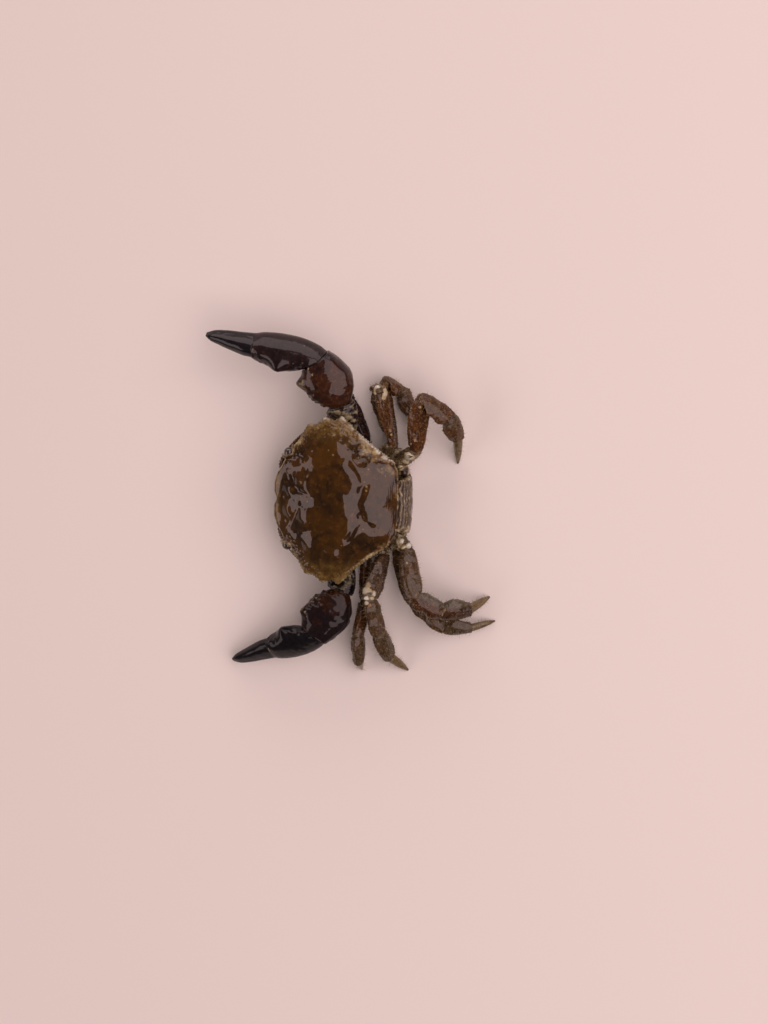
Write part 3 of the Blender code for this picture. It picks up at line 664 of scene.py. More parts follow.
# Pits of the front: place, half width along x and along y, and depth. The last two are swells.
PITS = [(-2.2, -2.85, 0.3, 0.2, 0.07), (-0.55, -3.1, 0.16, 0.5, 0.08), (0.3, -3.0, 0.24, 0.26, 0.07),
        (0.6, -3.75, 0.3, 0.2, 0.07), (2.3, -3.5, 0.24, 0.26, 0.07), (-2.7, -3.75, 0.22, 0.22, 0.06),
        (-1.3, -3.6, 0.3, 0.15, 0.06), (1.5, -3.1, 0.2, 0.3, 0.05), (-3.1, -2.9, 0.2, 0.35, 0.06),
        (1.4, -4.2, 0.3, 0.18, 0.06), (3.1, -3.0, 0.3, 0.2, 0.06),
        (-0.4, -4.25, 0.3, 0.18, 0.06), (-1.75, -3.05, 0.35, 0.14, 0.06), (-2.5, -1.75, 0.5, 0.5, -0.08),
        (3.1, 0.15, 0.6, 0.5, -0.1)]
TOP_RINGS = 104
EYE_CENTRE = np.array([3.24, -4.18, 3.3])
STALK_ROOT = np.array([2.5, -3.95, 3.1])
EYE_RADIUS = 0.4
STALK_RADIUS = 0.27


def margin_height(y):
    """The height of the carapace's edge at a place along the body."""
    front = np.maximum(0, (-y - 2.5) / 2.7)
    rear = np.maximum(0, (y - 0.5) / 3.2)
    return MARGIN_HEIGHT + (FRONT_HEIGHT - MARGIN_HEIGHT) * front + (REAR_HEIGHT - MARGIN_HEIGHT) * rear


def back_relief(x, y):
    """The height of the swells less the depth of the grooves and pits."""
    spots = np.stack([x, y, np.zeros_like(x)], axis=-1)
    x = x + 0.16 * lumps(spots, 0.8, 21)
    y = y + 0.16 * lumps(spots, 0.8, 22)
    pits = sum(d * bell(x, px, wx) * bell(y, py, wy) for px, py, wx, wy, d in PITS)
    x = abs(x)
    total = sum(h * np.exp(-((x - cx) ** 2 + (y - cy) ** 2) / s**2) for cx, cy, s, h in REGIONS)
    for a, b, half, depth in GROOVES:
        run = np.subtract(b, a)
        t = np.clip(((x - a[0]) * run[0] + (y - a[1]) * run[1]) / (run @ run), 0, 1)
        away = np.hypot(x - a[0] - t * run[0], y - a[1] - t * run[1])
        total = total - depth * bell(away, 0, half)
    return total - pits


print("highest swell in mm:", max(height for *_, height in REGIONS))

# %% Stack the carapace's rings
# The rings under the edge: share of the outline, height and how far its corners are rounded off.
UNDER_RINGS = [(0.60, CARAPACE_UNDERSIDE - 0.3, 1.6), (0.73, CARAPACE_UNDERSIDE, 1.45), (0.79, 2.1, 1.3),
               (0.84, 2.42, 1.1)]
EDGE_RINGS = 12


def shrunk(share, reach):
    """The outline with its corners rounded off, shrunk towards the middle of the carapace."""
    return CARAPACE_CENTRE + (round_off(outline, reach) - CARAPACE_CENTRE) * share


def ring_over(loop, height):
    """A ring of points above a flat loop, at one height or at a height for each point."""
    return np.stack([loop.real, loop.imag, np.broadcast_to(height, len(loop))], axis=1)


rings = [ring_over(shrunk(share, reach), height) for share, height, reach in UNDER_RINGS]
for turn in np.radians(np.linspace(-75, 70, EDGE_RINGS)):
    loop = shrunk(1 - 0.025 * (1 - math.cos(turn)), 0.05 + 0.1 * abs(math.sin(turn)))
    rings.append(ring_over(loop, margin_height(loop.imag) - MARGIN_EDGE * (0.45 - 0.5 * math.sin(turn))))
edge_rows = len(rings)
shares = np.linspace(0.975, 0.012, TOP_RINGS)
for share in shares:
    step = (1 - share) * 10
    loop = shrunk(share, 0.15 + 0.45 * step if step < 0.4 else 0.55 * math.sqrt(step) - 0.13)
    y = loop.imag
    edge = margin_height(y)
    inner = share ** (2.3 - 0.4 * smooth_step(-3.9, -4.9, y))
    relief = (back_relief(loop.real, y) - 0.15) * (1 - share**6)
    rings.append(ring_over(loop, edge + (CARAPACE_HEIGHT - edge) * (1 - inner) + relief))
carapace = np.array(rings)
print("carapace grid:", carapace.shape, "top in mm:", round(carapace[..., 2].max(), 2))

# %% [markdown]
# Edge beads, wrinkles and eye hollows
# Close up, the front third is uneven like hammered metal and the edge is a string of beads. Each
# eye folds into a hollow. Points that would lie inside the eye's room are pushed out to its wall.

# %% Add the carapace's fine relief
row = np.arange(len(carapace))
share_of = np.concatenate([np.ones(edge_rows), shares])[:, None] * np.ones(OUTLINE_POINTS)
side_place = abs(carapace[..., 0])
depth_place = carapace[..., 1]
frontness = smooth_step(-1.6, -3.6, depth_place)
flank = smooth_step(0.55, 0.9, share_of) * smooth_step(-5.1, -4.4, depth_place)
backness = smooth_step(-0.4, 0.6, depth_place)
uneven = (lumps(carapace, 0.95, 1) * (0.02 + 0.017 * frontness + 0.02 * backness)
          + lumps(carapace, 0.5, 2) * (0.003 + 0.009 * frontness + 0.002 * backness + 0.005 * flank)
          + lumps(carapace, 0.18, 3) * 0.006 * smooth_step(0.86, 0.95, share_of) * (1 - frontness))
rear_ripple = smooth_step(2.6, 3.2, depth_place) * np.cos((1 - share_of) * 4.4 / 0.11 * math.tau)
uneven = uneven + 0.006 * rear_ripple
uneven = uneven * (row >= edge_rows)[:, None] * smooth_step(1.0, 0.9, share_of)
carapace = swell(carapace, uneven)
print("the relief rises by up to", round(float(uneven.max()), 3), "mm")

# %% Bead the carapace's edge
toothed = smooth_step(-4.3, -3.7, depth_place) * smooth_step(0.6, -0.4, depth_place)
slanted = smooth_step(-0.4, 0.4, depth_place) * smooth_step(3.3, 2.9, depth_place)
# The fine beads of the teeth and of the slanted rear edge stand on one ring below the rim.
beaded_row = edge_rows - 4
edge_line = carapace[beaded_row][None]
beads = sprinkle(edge_line, toothed[beaded_row][None], 0.19, 0.085, 0.06, 11)
beads += sprinkle(edge_line, slanted[beaded_row][None], 0.15, 0.06, 0.035, 14)
brim = (row >= edge_rows - 10) & (row < edge_rows)
beads += sprinkle(carapace, slanted * brim[:, None] * 0.5, 0.2, 0.12, 0.09, 15)
beads += sprinkle(carapace, toothed * smooth_step(0.85, 0.97, share_of) * 0.6, 0.2, 0.07, 0.035, 12)
strewn = smooth_step(0.7, 0.95, share_of) * 0.1 * (depth_place < 2.5) * (1 - frontness)
beads += sprinkle(carapace, strewn, 0.34, 0.06, 0.02, 13)
carapace, lift = raise_beads(carapace, beads)
print("beads on the carapace:", len(beads))

# %% Press in the eye hollows
for side in (-1, 1):
    mirror = np.array([side, 1, 1])
    a = STALK_ROOT * mirror
    b = EYE_CENTRE * mirror
    run = b - a
    t = np.clip(((carapace - a) @ run) / (run @ run), 0, 1.1)
    axis = a + t[..., None] * run
    away = carapace - axis
    distance = np.linalg.norm(away, axis=-1)
    wall = STALK_RADIUS + 0.1 + (EYE_RADIUS - STALK_RADIUS + 0.08) * smooth_step(0.4, 1.0, t)
    inside = distance < wall
    carapace[inside] = (axis + away / distance[..., None] * wall[..., None])[inside]
print("eye hollow width in mm:", round(2 * (EYE_RADIUS + 0.18), 2))

# %% Colour the carapace
# The right rear margin is smudged, and the sides and the teeth are paler than the middle.
sideways = smooth_step(-4.6, -3.4, depth_place) * smooth_step(3.4, 2.4, depth_place)
right_rear = smooth_step(1.0, 3.0, -carapace[..., 0]) * smooth_step(-0.6, 1.2, depth_place)
smudge = np.clip(0.5 + 1.2 * lumps(carapace, 0.4, 17), 0, 1)
pale_edge = smooth_step(0.9, 1.0, share_of) * (0.1 + 0.75 * sideways * (1 - 0.7 * right_rear * (1 - smudge)))
pale_edge = pale_edge + smooth_step(0.55, 1.0, share_of) * (0.3 + 0.6 * smudge) * right_rear
tooth_tips = sum(bell(side_place, 5.8, 0.32) * bell(depth_place, y, 0.3) for y in (-1.65, -0.5))
mottled = smooth_step(3.6, 5.6, -carapace[..., 0]) * smooth_step(-3.4, -2.2, depth_place)
pale_edge = pale_edge + mottled * (0.3 + 0.7 * lumps(carapace * np.array([0.5, 1, 1]), 0.4, 16))
pale_edge = pale_edge + tooth_tips * np.where(carapace[..., 0] < 0, 1.5, 0.5)
limit = 1.25 + 0.35 * np.maximum(right_rear, tooth_tips * (carapace[..., 0] < 0))
pale_edge = np.clip(pale_edge + lift * (2 + 6 * sideways + 10 * right_rear * smudge), 0, limit)
pale_edge[:edge_rows] = np.maximum(pale_edge, 0.45 + 0.9 * lumps(carapace, 0.22, 9))[:edge_rows]
# A clear amber lip runs along the front, and the outer sides take its colour in patches.
lip = smooth_step(-4.55, -4.95, depth_place) * smooth_step(2.6, 2.2, side_place)
lip = np.maximum(lip, 0.85 * smooth_step(3.7, 5.6, side_place + lumps(carapace, 0.9, 8) * 0.6))
# Under the edge this amber trim is broken into dark patches: painted shade between the pale beads, in the
# lip's own amber.
lip[:edge_rows] *= smooth_step(-0.3, 0.2, lumps(carapace, 0.3, 10))[:edge_rows]
make_piece("carapace_shell", [(carapace, pale_edge, lip)], BACK_SHELL, ["carapace"])
print("palest value on the carapace:", pale_edge.max().round(2))

# %% [markdown]
# Eyes
# Each eye is a short stalk with a swollen dark end. The stalk is shell, the cornea a smooth round
# cap on its end.

# %% Make the eyes
EYE_SIDES = 32
STALK_RINGS = 20
CORNEA_RINGS = 24
for side, name in ((-1, "eye_right"), (1, "eye_left")):
    mirror = np.array([side, 1, 1])
    root = STALK_ROOT * mirror
    centre = EYE_CENTRE * mirror
    along = unit(centre - root)
    length = np.linalg.norm(centre - root)
    reach = np.linspace(-0.1, length - 0.12, STALK_RINGS)
    girth = STALK_RADIUS * (0.92 + 0.3 * smooth_step(0.35 * length, length, reach))
    stalk = oval_rings(root + along * reach[:, None], along, UPWARDS, girth, girth, 0.0, EYE_SIDES, 2.0)
    stalk = swell(stalk, lumps(stalk, 0.2, 5) * 0.02)
    turns = np.radians(np.linspace(-52, 88, CORNEA_RINGS))
    line = centre + along * (EYE_RADIUS * np.sin(turns))[:, None]
    radius = EYE_RADIUS * np.cos(turns)
    cap = oval_rings(line, along, UPWARDS, radius, radius, 0.0, EYE_SIDES, 2.0)
    make_piece(name + "_stalk", [(stalk, 0.3, 0.0)], BACK_SHELL, [])
    make_piece(name + "_cornea", [(cap, 0.0, 0.0)], cornea, [name])
print("eye width in mm:", 2 * EYE_RADIUS)

# %% [markdown]
# Limbs
# A leg is a chain of stiff tubes. Each tube begins as a narrow neck inside the open end of the
# one before, swells, carries a raised crest on its upper edge, and ends in a lip. This crab is
# named for the crests: two lobes on the third piece and one on the fourth. The joints and the
# tables of half widths, half depths and crests are the ones that the solids were made from.

# %% Make one limb piece
MERUS = [(0.0, 0.34, 0.42, 0.0), (0.14, 0.39, 0.54, 0.03), (0.5, 0.41, 0.61, 0.10),
         (0.85, 0.43, 0.62, 0.10), (1.0, 0.39, 0.54, 0.0)]
CARPUS = [(0.0, 0.36, 0.46, 0.0), (0.25, 0.41, 0.53, 0.14), (0.5, 0.40, 0.52, 0.05),
          (0.75, 0.42, 0.54, 0.15), (1.0, 0.37, 0.48, 0.0)]
PROPODUS = [(0.0, 0.35, 0.45, 0.0), (0.3, 0.39, 0.53, 0.13), (0.65, 0.37, 0.49, 0.08),
            (1.0, 0.29, 0.37, 0.0)]
DACTYLUS = [(0.0, 0.27, 0.31, 0.0), (0.3, 0.25, 0.28, 0.0), (0.7, 0.18, 0.20, 0.0),
            (1.0, 0.06, 0.07, 0.0)]
# The third right thigh is thin at the hip and heavy at the knee.
HEAVY_KNEE = [(0.0, 0.30, 0.34, 0.0), (0.15, 0.33, 0.42, 0.02), (0.5, 0.41, 0.58, 0.08),
              (0.8, 0.43, 0.62, 0.10), (1.0, 0.36, 0.50, 0.0)]
COXA = [(0.0, 0.38, 0.42, 0.0), (0.5, 0.43, 0.48, 0.0), (0.82, 0.40, 0.46, 0.0), (1.0, 0.34, 0.41, 0.0)]
NECK_LENGTH = 0.42
NECK_RINGS = 7
# Shells stand this far apart, where the solids need 0.3 mm; a neck inside closes what is left.
SHELL_GAP = 0.05


def joint_planes(points):
    """The direction of the cut at each joint, half way between the pieces that meet."""
    runs = [unit(b - a) for a, b in zip(points, points[1:])]
    return [runs[0]] + [unit(a + b) for a, b in zip(runs, runs[1:])] + [runs[-1]]


def eased(count):
    """Shares from 0 to 1 that lie closer together at both ends."""
    return (1 - np.cos(np.linspace(0, math.pi, count))) / 2


def limb_grid(start, end, start_plane, end_plane, rows, lean, size, stations, sides, seed, tip=False):
    """Rings from the neck to the lip; returns them with their share along the piece."""
    run = unit(end - start)
    first = start + start_plane * (SHELL_GAP / 2)
    last = end if tip else end - end_plane * (SHELL_GAP / 2)
    upright = unit(np.array([0, 0, 1.0]) - run * run[2])
    sideways = np.cross(run, upright)
    sideways = sideways if sideways[1] >= 0 else -sideways
    crown = upright * math.cos(math.radians(lean)) - sideways * math.sin(math.radians(lean))
    along = eased(stations)
    start_pull = np.clip(1 - along / 0.35, 0, 1)[:, None]
    end_pull = np.clip(1 - (1 - along) / 0.35, 0, 1)[:, None]
    normal = run + (start_plane - run) * start_pull + (end_plane - run) * end_pull
    centre = first + (last - first) * along[:, None]
    wide, deep, crest = (flow(rows, along) * size).T
    round_start = 0.95 + 0.05 * smooth_step(0, 0.06, along)
    wide = wide * round_start
    deep = deep * round_start

    back = np.linspace(-NECK_LENGTH, -0.02, NECK_RINGS)
    squeeze = 0.6 + 0.3 * smooth_step(-NECK_LENGTH, 0, back)
    lip_reach = np.array([0.02, 0.0, -0.05])
    lip_size = np.array([0.95, 0.8, 0.4])
    if tip:
        lip_reach = np.array([0.01, 0.02])
        lip_size = np.array([0.6, 0.2])
    centre = np.vstack([first + start_plane * back[:, None], centre, last + end_plane * lip_reach[:, None]])
    normal = np.vstack([np.tile(start_plane, (NECK_RINGS, 1)), normal,
                        np.tile(end_plane, (len(lip_reach), 1))])
    wide = np.concatenate([wide[0] * squeeze, wide, wide[-1] * lip_size])
    deep = np.concatenate([deep[0] * squeeze, deep, deep[-1] * lip_size])
    crest = np.concatenate([np.zeros(NECK_RINGS), crest, np.zeros(len(lip_reach))])
    along = np.concatenate([back * 0 - 1, along, lip_reach * 0 + 2])
    grid = oval_rings(centre, normal, crown, wide, deep, crest, sides)
    uneven = lumps(grid, 0.5, seed) * 0.018 + lumps(grid, 0.17, seed + 1) * 0.007
    return swell(grid, uneven * ((along >= 0) & (along <= 1))[:, None]), along


def joint_paleness(along, sides, length):
    """A thin worn line along the lip of each piece and at its neck."""
    fade = np.clip(1 - along * length / 0.14, 0, 1) * 0.4
    fade = fade + np.clip(1 - (1 - along) * length / 0.1, 0, 1) * 0.5
    fade = np.where(along < 0, 0.35, np.where(along > 1, 0.5, fade))
    return np.clip(fade, 0, 1)[:, None] * np.ones(sides)


print("longest table:", max(len(t) for t in (MERUS, CARPUS, PROPODUS, DACTYLUS, COXA)), "rows")

# %% [markdown]
# Walking legs
# The eight walking legs fold at the knee and rest on their toes. Beads run along the upper edge
# of every piece but the toe, and small ones are strewn over the sides.

# %% Place and mark the walking legs
TIP_HEIGHT = 0.03
# Where each limb leaves the breast plate on the left; the right side is mirrored.
COXA_ROOTS = {1: (2.5, -0.9, 0.8), 2: (2.6, 0.5, 0.75), 3: (2.6, 1.6, 0.85), 4: (2.4, 2.5, 0.75),
              5: (2.35, 2.9, 1.0)}
# Five joints of each leg, how far its crown leans outwards in degrees, and its size.
LEGS = {
    "left_2": ((4.1, 1.12, 0.85), (7.35, 1.25, 1.55), (9.8, 0.82, 1.85), (11.8, 0.87, 1.4),
               (12.6, 0.88, TIP_HEIGHT), 20, 0.9),
    "left_3": ((4.0, 2.45, 1.4), (6.9, 1.8, 3.15), (9.5, 2.35, 2.2), (11.4, 3.05, 1.0),
               (12.45, 4.25, TIP_HEIGHT), 40, 1.1),
    "left_4": ((3.6, 3.3, 0.88), (7.2, 4.7, 1.5), (9.0, 6.9, 1.3), (9.0, 8.8, 0.85),
               (8.56, 10.4, TIP_HEIGHT), 60, 0.9),
    "left_5": ((3.4, 4.1, 1.9), (6.6, 5.0, 3.1), (7.64, 6.8, 2.4), (7.57, 8.7, 1.4),
               (6.85, 9.95, TIP_HEIGHT), 65, 1.12),
    "right_2": ((-4.0, 0.95, 0.6), (-6.7, -0.25, 0.5), (-8.2, -1.35, 0.7), (-9.2, -2.6, 0.6),
                (-9.8, -3.8, TIP_HEIGHT), 60, 0.7),
    "right_3": ((-4.0, 2.85, 1.85), (-7.95, 2.1, 3.5), (-7.75, 1.78, 2.15), (-6.1, 1.85, 1.25),
                (-4.7, 2.0, TIP_HEIGHT), 40, 0.86),
    "right_4": ((-3.6, 3.2, 0.72), (-8.3, 2.5, 1.2), (-7.6, 3.5, 0.6), (-6.1, 4.15, 0.42),
                (-5.1, 4.65, TIP_HEIGHT), 35, 0.7),
    "right_5": ((-3.65, 4.6, 1.95), (-7.25, 5.1, 3.3), (-6.0, 6.95, 2.5), (-4.5, 7.5, 1.5),
                (-2.67, 7.41, TIP_HEIGHT), 60, 1.1),
}
# How far merus, carpus and propodus turn from orange brown to olive grey.
OLIVE = {"left_2": (0.35, 0.5, 0.85), "left_3": (0.35, 0.6, 0.9), "left_4": (0.5, 0.7, 0.9),
         "left_5": (0.7, 0.15, 0.3), "right_2": (0.3, 0.3, 0.5), "right_3": (0.15, 0.6, 0.6),
         "right_4": (0.4, 0.3, 0.4), "right_5": (0.1, 0.4, 0.6)}
# The solids of legs that lie over each other are slimmer than the real ones, to clear each other.
# Here they get back their thickness, and two thighs are slimmed to leave the others room.
FULLER = {("right_3", "merus"): 0.93, ("right_4", "merus"): 0.85, ("right_4", "carpus"): 1.45,
          ("right_4", "propodus"): 1.75, ("right_5", "carpus"): 1.08, ("right_5", "propodus"): 1.12,
          ("left_5", "carpus"): 1.12, ("left_5", "propodus"): 1.28, ("left_4", "carpus"): 1.1,
          ("left_4", "propodus"): 1.15, ("left_3", "propodus"): 1.1, ("right_2", "merus"): 1.3,
          ("left_2", "carpus"): 1.12, ("left_2", "propodus"): 1.25}
# A few pieces move this far along the body, in millimetres, out of the way of the next leg.
ASIDE = {("right_2", "merus"): -0.15, ("right_3", "merus"): 0.04, ("right_4", "merus"): -0.25,
         ("right_4", "carpus"): -0.25, ("right_4", "propodus"): -0.15}
# These two are grey along one side, and one thigh has the same dark orange brown with painted shade.
GREY_SIDED = (("left_5", "carpus"), ("left_5", "propodus"))
DARK_ORANGE = GREY_SIDED + (("left_3", "merus"),)
# Knuckles that show from above: x, y, radius, height and colour, white 1 or dark -1. White tops
# carry a painted highlight, and dark knobs of negative height are dents of painted shade.
KNUCKLES = {
    "right_5": [(-2.3, 3.6, 0.3, 0.2, 0.55), (-3.14, 4.2, 0.36, 0.2, 0.9),
                (-3.08, 4.3, 0.14, 0.0, -1), (-2.68, 3.95, 0.26, 0.14, 0.7)],
    "left_5": [(2.35, 3.6, 0.36, 0.2, 0.5), (2.79, 3.68, 0.22, 0.18, 1), (2.7, 3.45, 0.24, 0.08, 0.6),
               (3.25, 4.34, 0.26, 0.2, 1), (3.1, 3.95, 0.24, 0.08, 0.6), (3.95, 4.35, 0.18, 0.07, 0.8)],
    "left_4": [(3.15, 2.95, 0.3, 0.12, -1)],
    ("right_3", "merus"): [(-8.3, 2.2, 0.26, 0.14, 1), (-7.9, 2.62, 0.24, 0.1, 0.62),
                           (-7.6, 2.64, 0.28, 0.1, 0.8), (-7.3, 2.55, 0.24, 0.06, 0.55),
                           (-7.85, 1.72, 0.26, 0.08, 0.6), (-7.55, 1.68, 0.2, 0.05, 0.5),
                           # Two dents painted dark: painted shade in the socket of the knee.
                           (-7.75, 2.15, 0.3, -0.04, -1), (-7.3, 2.15, 0.26, -0.02, -1),
                           (-4.95, 2.9, 0.18, 0.07, 0.65), (-4.6, 3.0, 0.16, 0.06, 0.6)],
    ("left_3", "merus"): [(6.45, 2.2, 0.28, 0.1, 0.9), (6.75, 2.1, 0.24, 0.07, 0.7),
                          (6.1, 1.5, 0.34, 0.1, 0.7), (5.8, 1.6, 0.26, 0.06, 0.6),
                          # The second knob here is a dent painted dark: painted shade in the knee's socket.
                          (6.4, 1.4, 0.3, 0.06, 0.75), (6.45, 1.85, 0.18, -0.05, -1),
                          (6.75, 1.5, 0.28, 0.08, 1), (6.15, 1.9, 0.24, 0.04, 0.55)],
    ("left_3", "carpus"): [(7.15, 1.7, 0.24, 0.09, 0.75), (7.4, 1.95, 0.16, 0.05, 0.6)],
    ("left_2", "merus"): [(7.1, 1.1, 0.16, 0.05, 0.8)],
    ("left_5", "merus"): [(4.18, 4.33, 0.12, 0.04, 0.8)],
    ("right_5", "merus"): [(-4.3, 4.7, 0.12, 0.05, 0.8), (-4.0, 4.32, 0.12, 0.05, 0.8),
                           (-7.0, 4.85, 0.18, 0.06, -1), (-6.75, 5.15, 0.14, 0.05, 0.55)],
}
print("marked knuckles:", sum(len(knobs) for knobs in KNUCKLES.values()))

# %% Make a limb's stub
COXA_RINGS = 40
COXA_SIDES = 32
coxa_grids = []


def coxa_root(label, number):
    """Where a limb leaves the breast plate, on the side that its label names."""
    x, y, z = COXA_ROOTS[number]
    return np.array([-x if label.startswith("right") else x, y, z])


def add_coxa(label, start, end, planes, lean, size, seed):
    """A limb's stub on the breast plate: mottled, with granules."""
    grid, along = limb_grid(start, end, planes[0], planes[1], COXA, lean, size, COXA_RINGS, COXA_SIDES,
                            seed)
    body = ((along > 0.3) & (along <= 1))[:, None] * np.ones(COXA_SIDES)
    beads = sprinkle(grid, body * 0.4, 0.2, 0.08, 0.045, seed)
    grid, lift = raise_beads(swell(grid, lumps(grid, 0.35, seed) * 0.03), beads)
    press_on_floor(grid)
    mottle = lumps(grid, 0.45, seed + 50)
    pale = np.clip(0.25 + 0.9 * mottle + lift * 6, 0, 1.1)
    trim = np.clip(-0.1 - 1.4 * mottle, 0, 1)
    coxa_grids.append(raise_knuckles(grid, pale, trim, KNUCKLES.get(label, [])))


print("first stub starts at:", coxa_root("left", 1))

# %% Dress one leg piece
LEG_SIDES = 48
# Keels run along each piece at these angles from its crown and split it into facets.
KEELS = (0.0, 1.0, -1.15, 2.6, -2.5)
KEEL_WIDTH = 0.16
KEEL_HEIGHT = 0.05


def leg_relief(grid, along, bend, seed):
    """Keels, swellings and beads. Returns the grid and how far the beads lift each point."""
    body = ((along >= 0.06) & (along <= 0.97))[:, None] * np.ones(LEG_SIDES)
    ridge = np.zeros(LEG_SIDES)
    ridge[[0, 1, -1]] = 1
    turn = np.arange(LEG_SIDES) / LEG_SIDES * math.tau
    bent = turn + 0.35 * np.sin(np.clip(along, 0, 1) * 3 + bend)[:, None]
    keels = sum(bell(np.mod(bent - angle + math.pi, math.tau), math.pi, KEEL_WIDTH) for angle in KEELS)
    grid = swell(grid, KEEL_HEIGHT * (keels - 0.4) * body)
    swelling = lumps(grid, 0.75, seed + 60) * 0.05 + lumps(grid, 0.35, seed + 61) * 0.025
    grid = swell(grid, swelling * body)
    beads = sprinkle(grid, body * ridge, 0.17, 0.08, 0.04, seed)
    beads += sprinkle(grid, body * np.clip(keels, 0, 1) * 0.5, 0.16, 0.05, 0.03, seed + 150)
    beads += sprinkle(grid, body * 0.25, 0.3, 0.05, 0.02, seed + 100)
    return raise_beads(grid, beads)


print("keels on each piece:", len(KEELS))

# %% Make the walking legs
LEG_TABLES = {"merus": MERUS, "carpus": CARPUS, "propodus": PROPODUS, "dactylus": DACTYLUS}
leg_grids = {}
for leg_number, (label, pose) in enumerate(LEGS.items()):
    joints = [coxa_root(label, int(label[-1]))] + [np.array(p) for p in pose[:5]]
    planes = joint_planes(joints)
    lean, size = pose[5:]
    add_coxa(label, joints[0], joints[1], planes, lean, size, leg_number)
    for i, (part, rows) in enumerate(LEG_TABLES.items(), start=1):
        key = (label, part)
        seed = leg_number * 10 + i
        toe = part == "dactylus"
        length = np.linalg.norm(joints[i + 1] - joints[i])
        rows = HEAVY_KNEE if key == ("right_3", "merus") else rows
        grid, along = limb_grid(joints[i], joints[i + 1], planes[i], planes[i + 1], rows, lean,
                                size * FULLER.get(key, 1.0), int(30 + length * 12), LEG_SIDES, seed, tip=toe)
        grid[..., 1] += ASIDE.get(key, 0.0)
        # The leg under the right claw's arm takes the finish with painted shade.
        finish = SHADED_UNDER_ARM_LEG_SHELL if label == "right_2" else LEG_SHELL
        if toe:
            lift = 0.0
            finish = TOE_HORN
        else:
            grid, lift = leg_relief(grid, along, leg_number, seed)
        press_on_floor(grid)
        pale = np.clip(joint_paleness(along, LEG_SIDES, length) + lift * 6, 0, 1)
        if toe:
            trim = smooth_step(0.8, 1.0, along)[:, None] * np.ones(LEG_SIDES)
        else:
            trim = np.clip(OLIVE[label][i - 1] + 0.35 * lumps(grid, 1.1, seed + 3), 0, 1)
        # These pieces turn grey along their side towards the crab's right.
        if key in GREY_SIDED:
            across = np.cross([0, 0, 1.0], unit(joints[i + 1] - joints[i]))
            trim = np.maximum(0.3 * trim, smooth_step(0.05, 0.4, (grid - joints[i]) @ across))
        # The dark orange pieces take the finish with painted shade.
        if key in DARK_ORANGE:
            finish = SHADED_ORANGE_LEG_SHELL
        grid, pale, trim = raise_knuckles(grid, pale, trim, KNUCKLES.get(key, []))
        leg_grids[key] = grid, along
        make_piece("leg_%s_%s_shell" % key, [(grid, pale, trim)], finish,
                   ["leg_%s_%s" % key])
print("leg pieces:", len(leg_grids))

# %% [markdown]
# Claws
# A claw is four plates: a short arm, a swollen wrist with a blunt inner tooth, the palm that runs
# out into the fixed finger, and the moving finger. The palm is high and rather flat, so its
# table gives the top and bottom edge and half the thickness instead of a middle and a width.

# %% Make the claws
CLAW_MERUS = [(0.0, 0.5, 0.38, 0.0), (0.25, 0.75, 0.48, 0.0), (0.65, 1.05, 0.62, 0.0),
              (0.9, 1.05, 0.68, 0.0), (1.0, 0.92, 0.64, 0.0)]
CLAW_CARPUS = [(0.0, 0.82, 0.68, 0.0), (0.16, 1.22, 1.0, 0.0), (0.4, 1.55, 1.18, 0.0),
               (0.65, 1.6, 1.18, 0.0), (0.86, 1.42, 1.1, 0.0), (1.0, 1.2, 0.96, 0.0)]
PALM = [(0.0, 1.02, -1.22, 0.86), (0.1, 1.04, -1.3, 0.9), (0.25, 1.06, -1.42, 0.93),
        (0.4, 1.14, -1.46, 0.96), (0.54, 1.2, -1.45, 0.96), (0.66, 1.16, -1.4, 0.93),
        (0.8, 1.04, -1.3, 0.87), (0.92, 0.94, -1.18, 0.78), (1.0, 0.84, -1.06, 0.66)]
# The heel is a blunt knob on the palm's upper edge: its place, its length and its height.
HEEL = (0.54, 0.13, 0.42)
# In the solids the closed fingers stand a little apart; here they close on each other.
POLLEX = [(0.04, 0.5, -1.0, 0.6), (0.3, 0.46, -0.84, 0.54), (0.65, 0.32, -0.66, 0.42),
          (0.88, 0.18, -0.44, 0.26), (1.0, 0.0, -0.2, 0.06)]
FINGER = [(0.0, 0.8, -0.7, 0.6), (0.15, 0.82, -0.74, 0.6), (0.4, 0.68, -0.62, 0.53),
          (0.7, 0.48, -0.46, 0.4), (0.9, 0.32, -0.28, 0.24), (1.0, 0.14, -0.1, 0.06)]
WRIST_CUT = 0.85
CLAWS = {
    "right": ((-3.95, -0.4, 1.02), (-6.75, -0.75, 2.35), (-9.75, -2.5, 3.2), (-10.6, -6.85, 3.2),
              (-11.3, -10.4, 2.7), (-8.1, -3.8, 3.3), 48, 1.0),
    "left": ((3.95, -0.4, 1.02), (6.65, -0.45, 2.3), (9.75, -2.3, 2.5), (10.95, -5.45, 1.7),
             (12.25, -8.5, 0.62), (8.05, -3.25, 2.9), 48, 0.93),
}
CLAW_SIDES = 72


def flat_rings(line, along, up, top, bottom, thick, crest=0.0):
    """Rings given by their top and bottom edges above the line."""
    middle = line + up * ((top + bottom) / 2)[:, None]
    return oval_rings(middle, along, up, thick, (top - bottom) / 2, crest, CLAW_SIDES, 2.6)


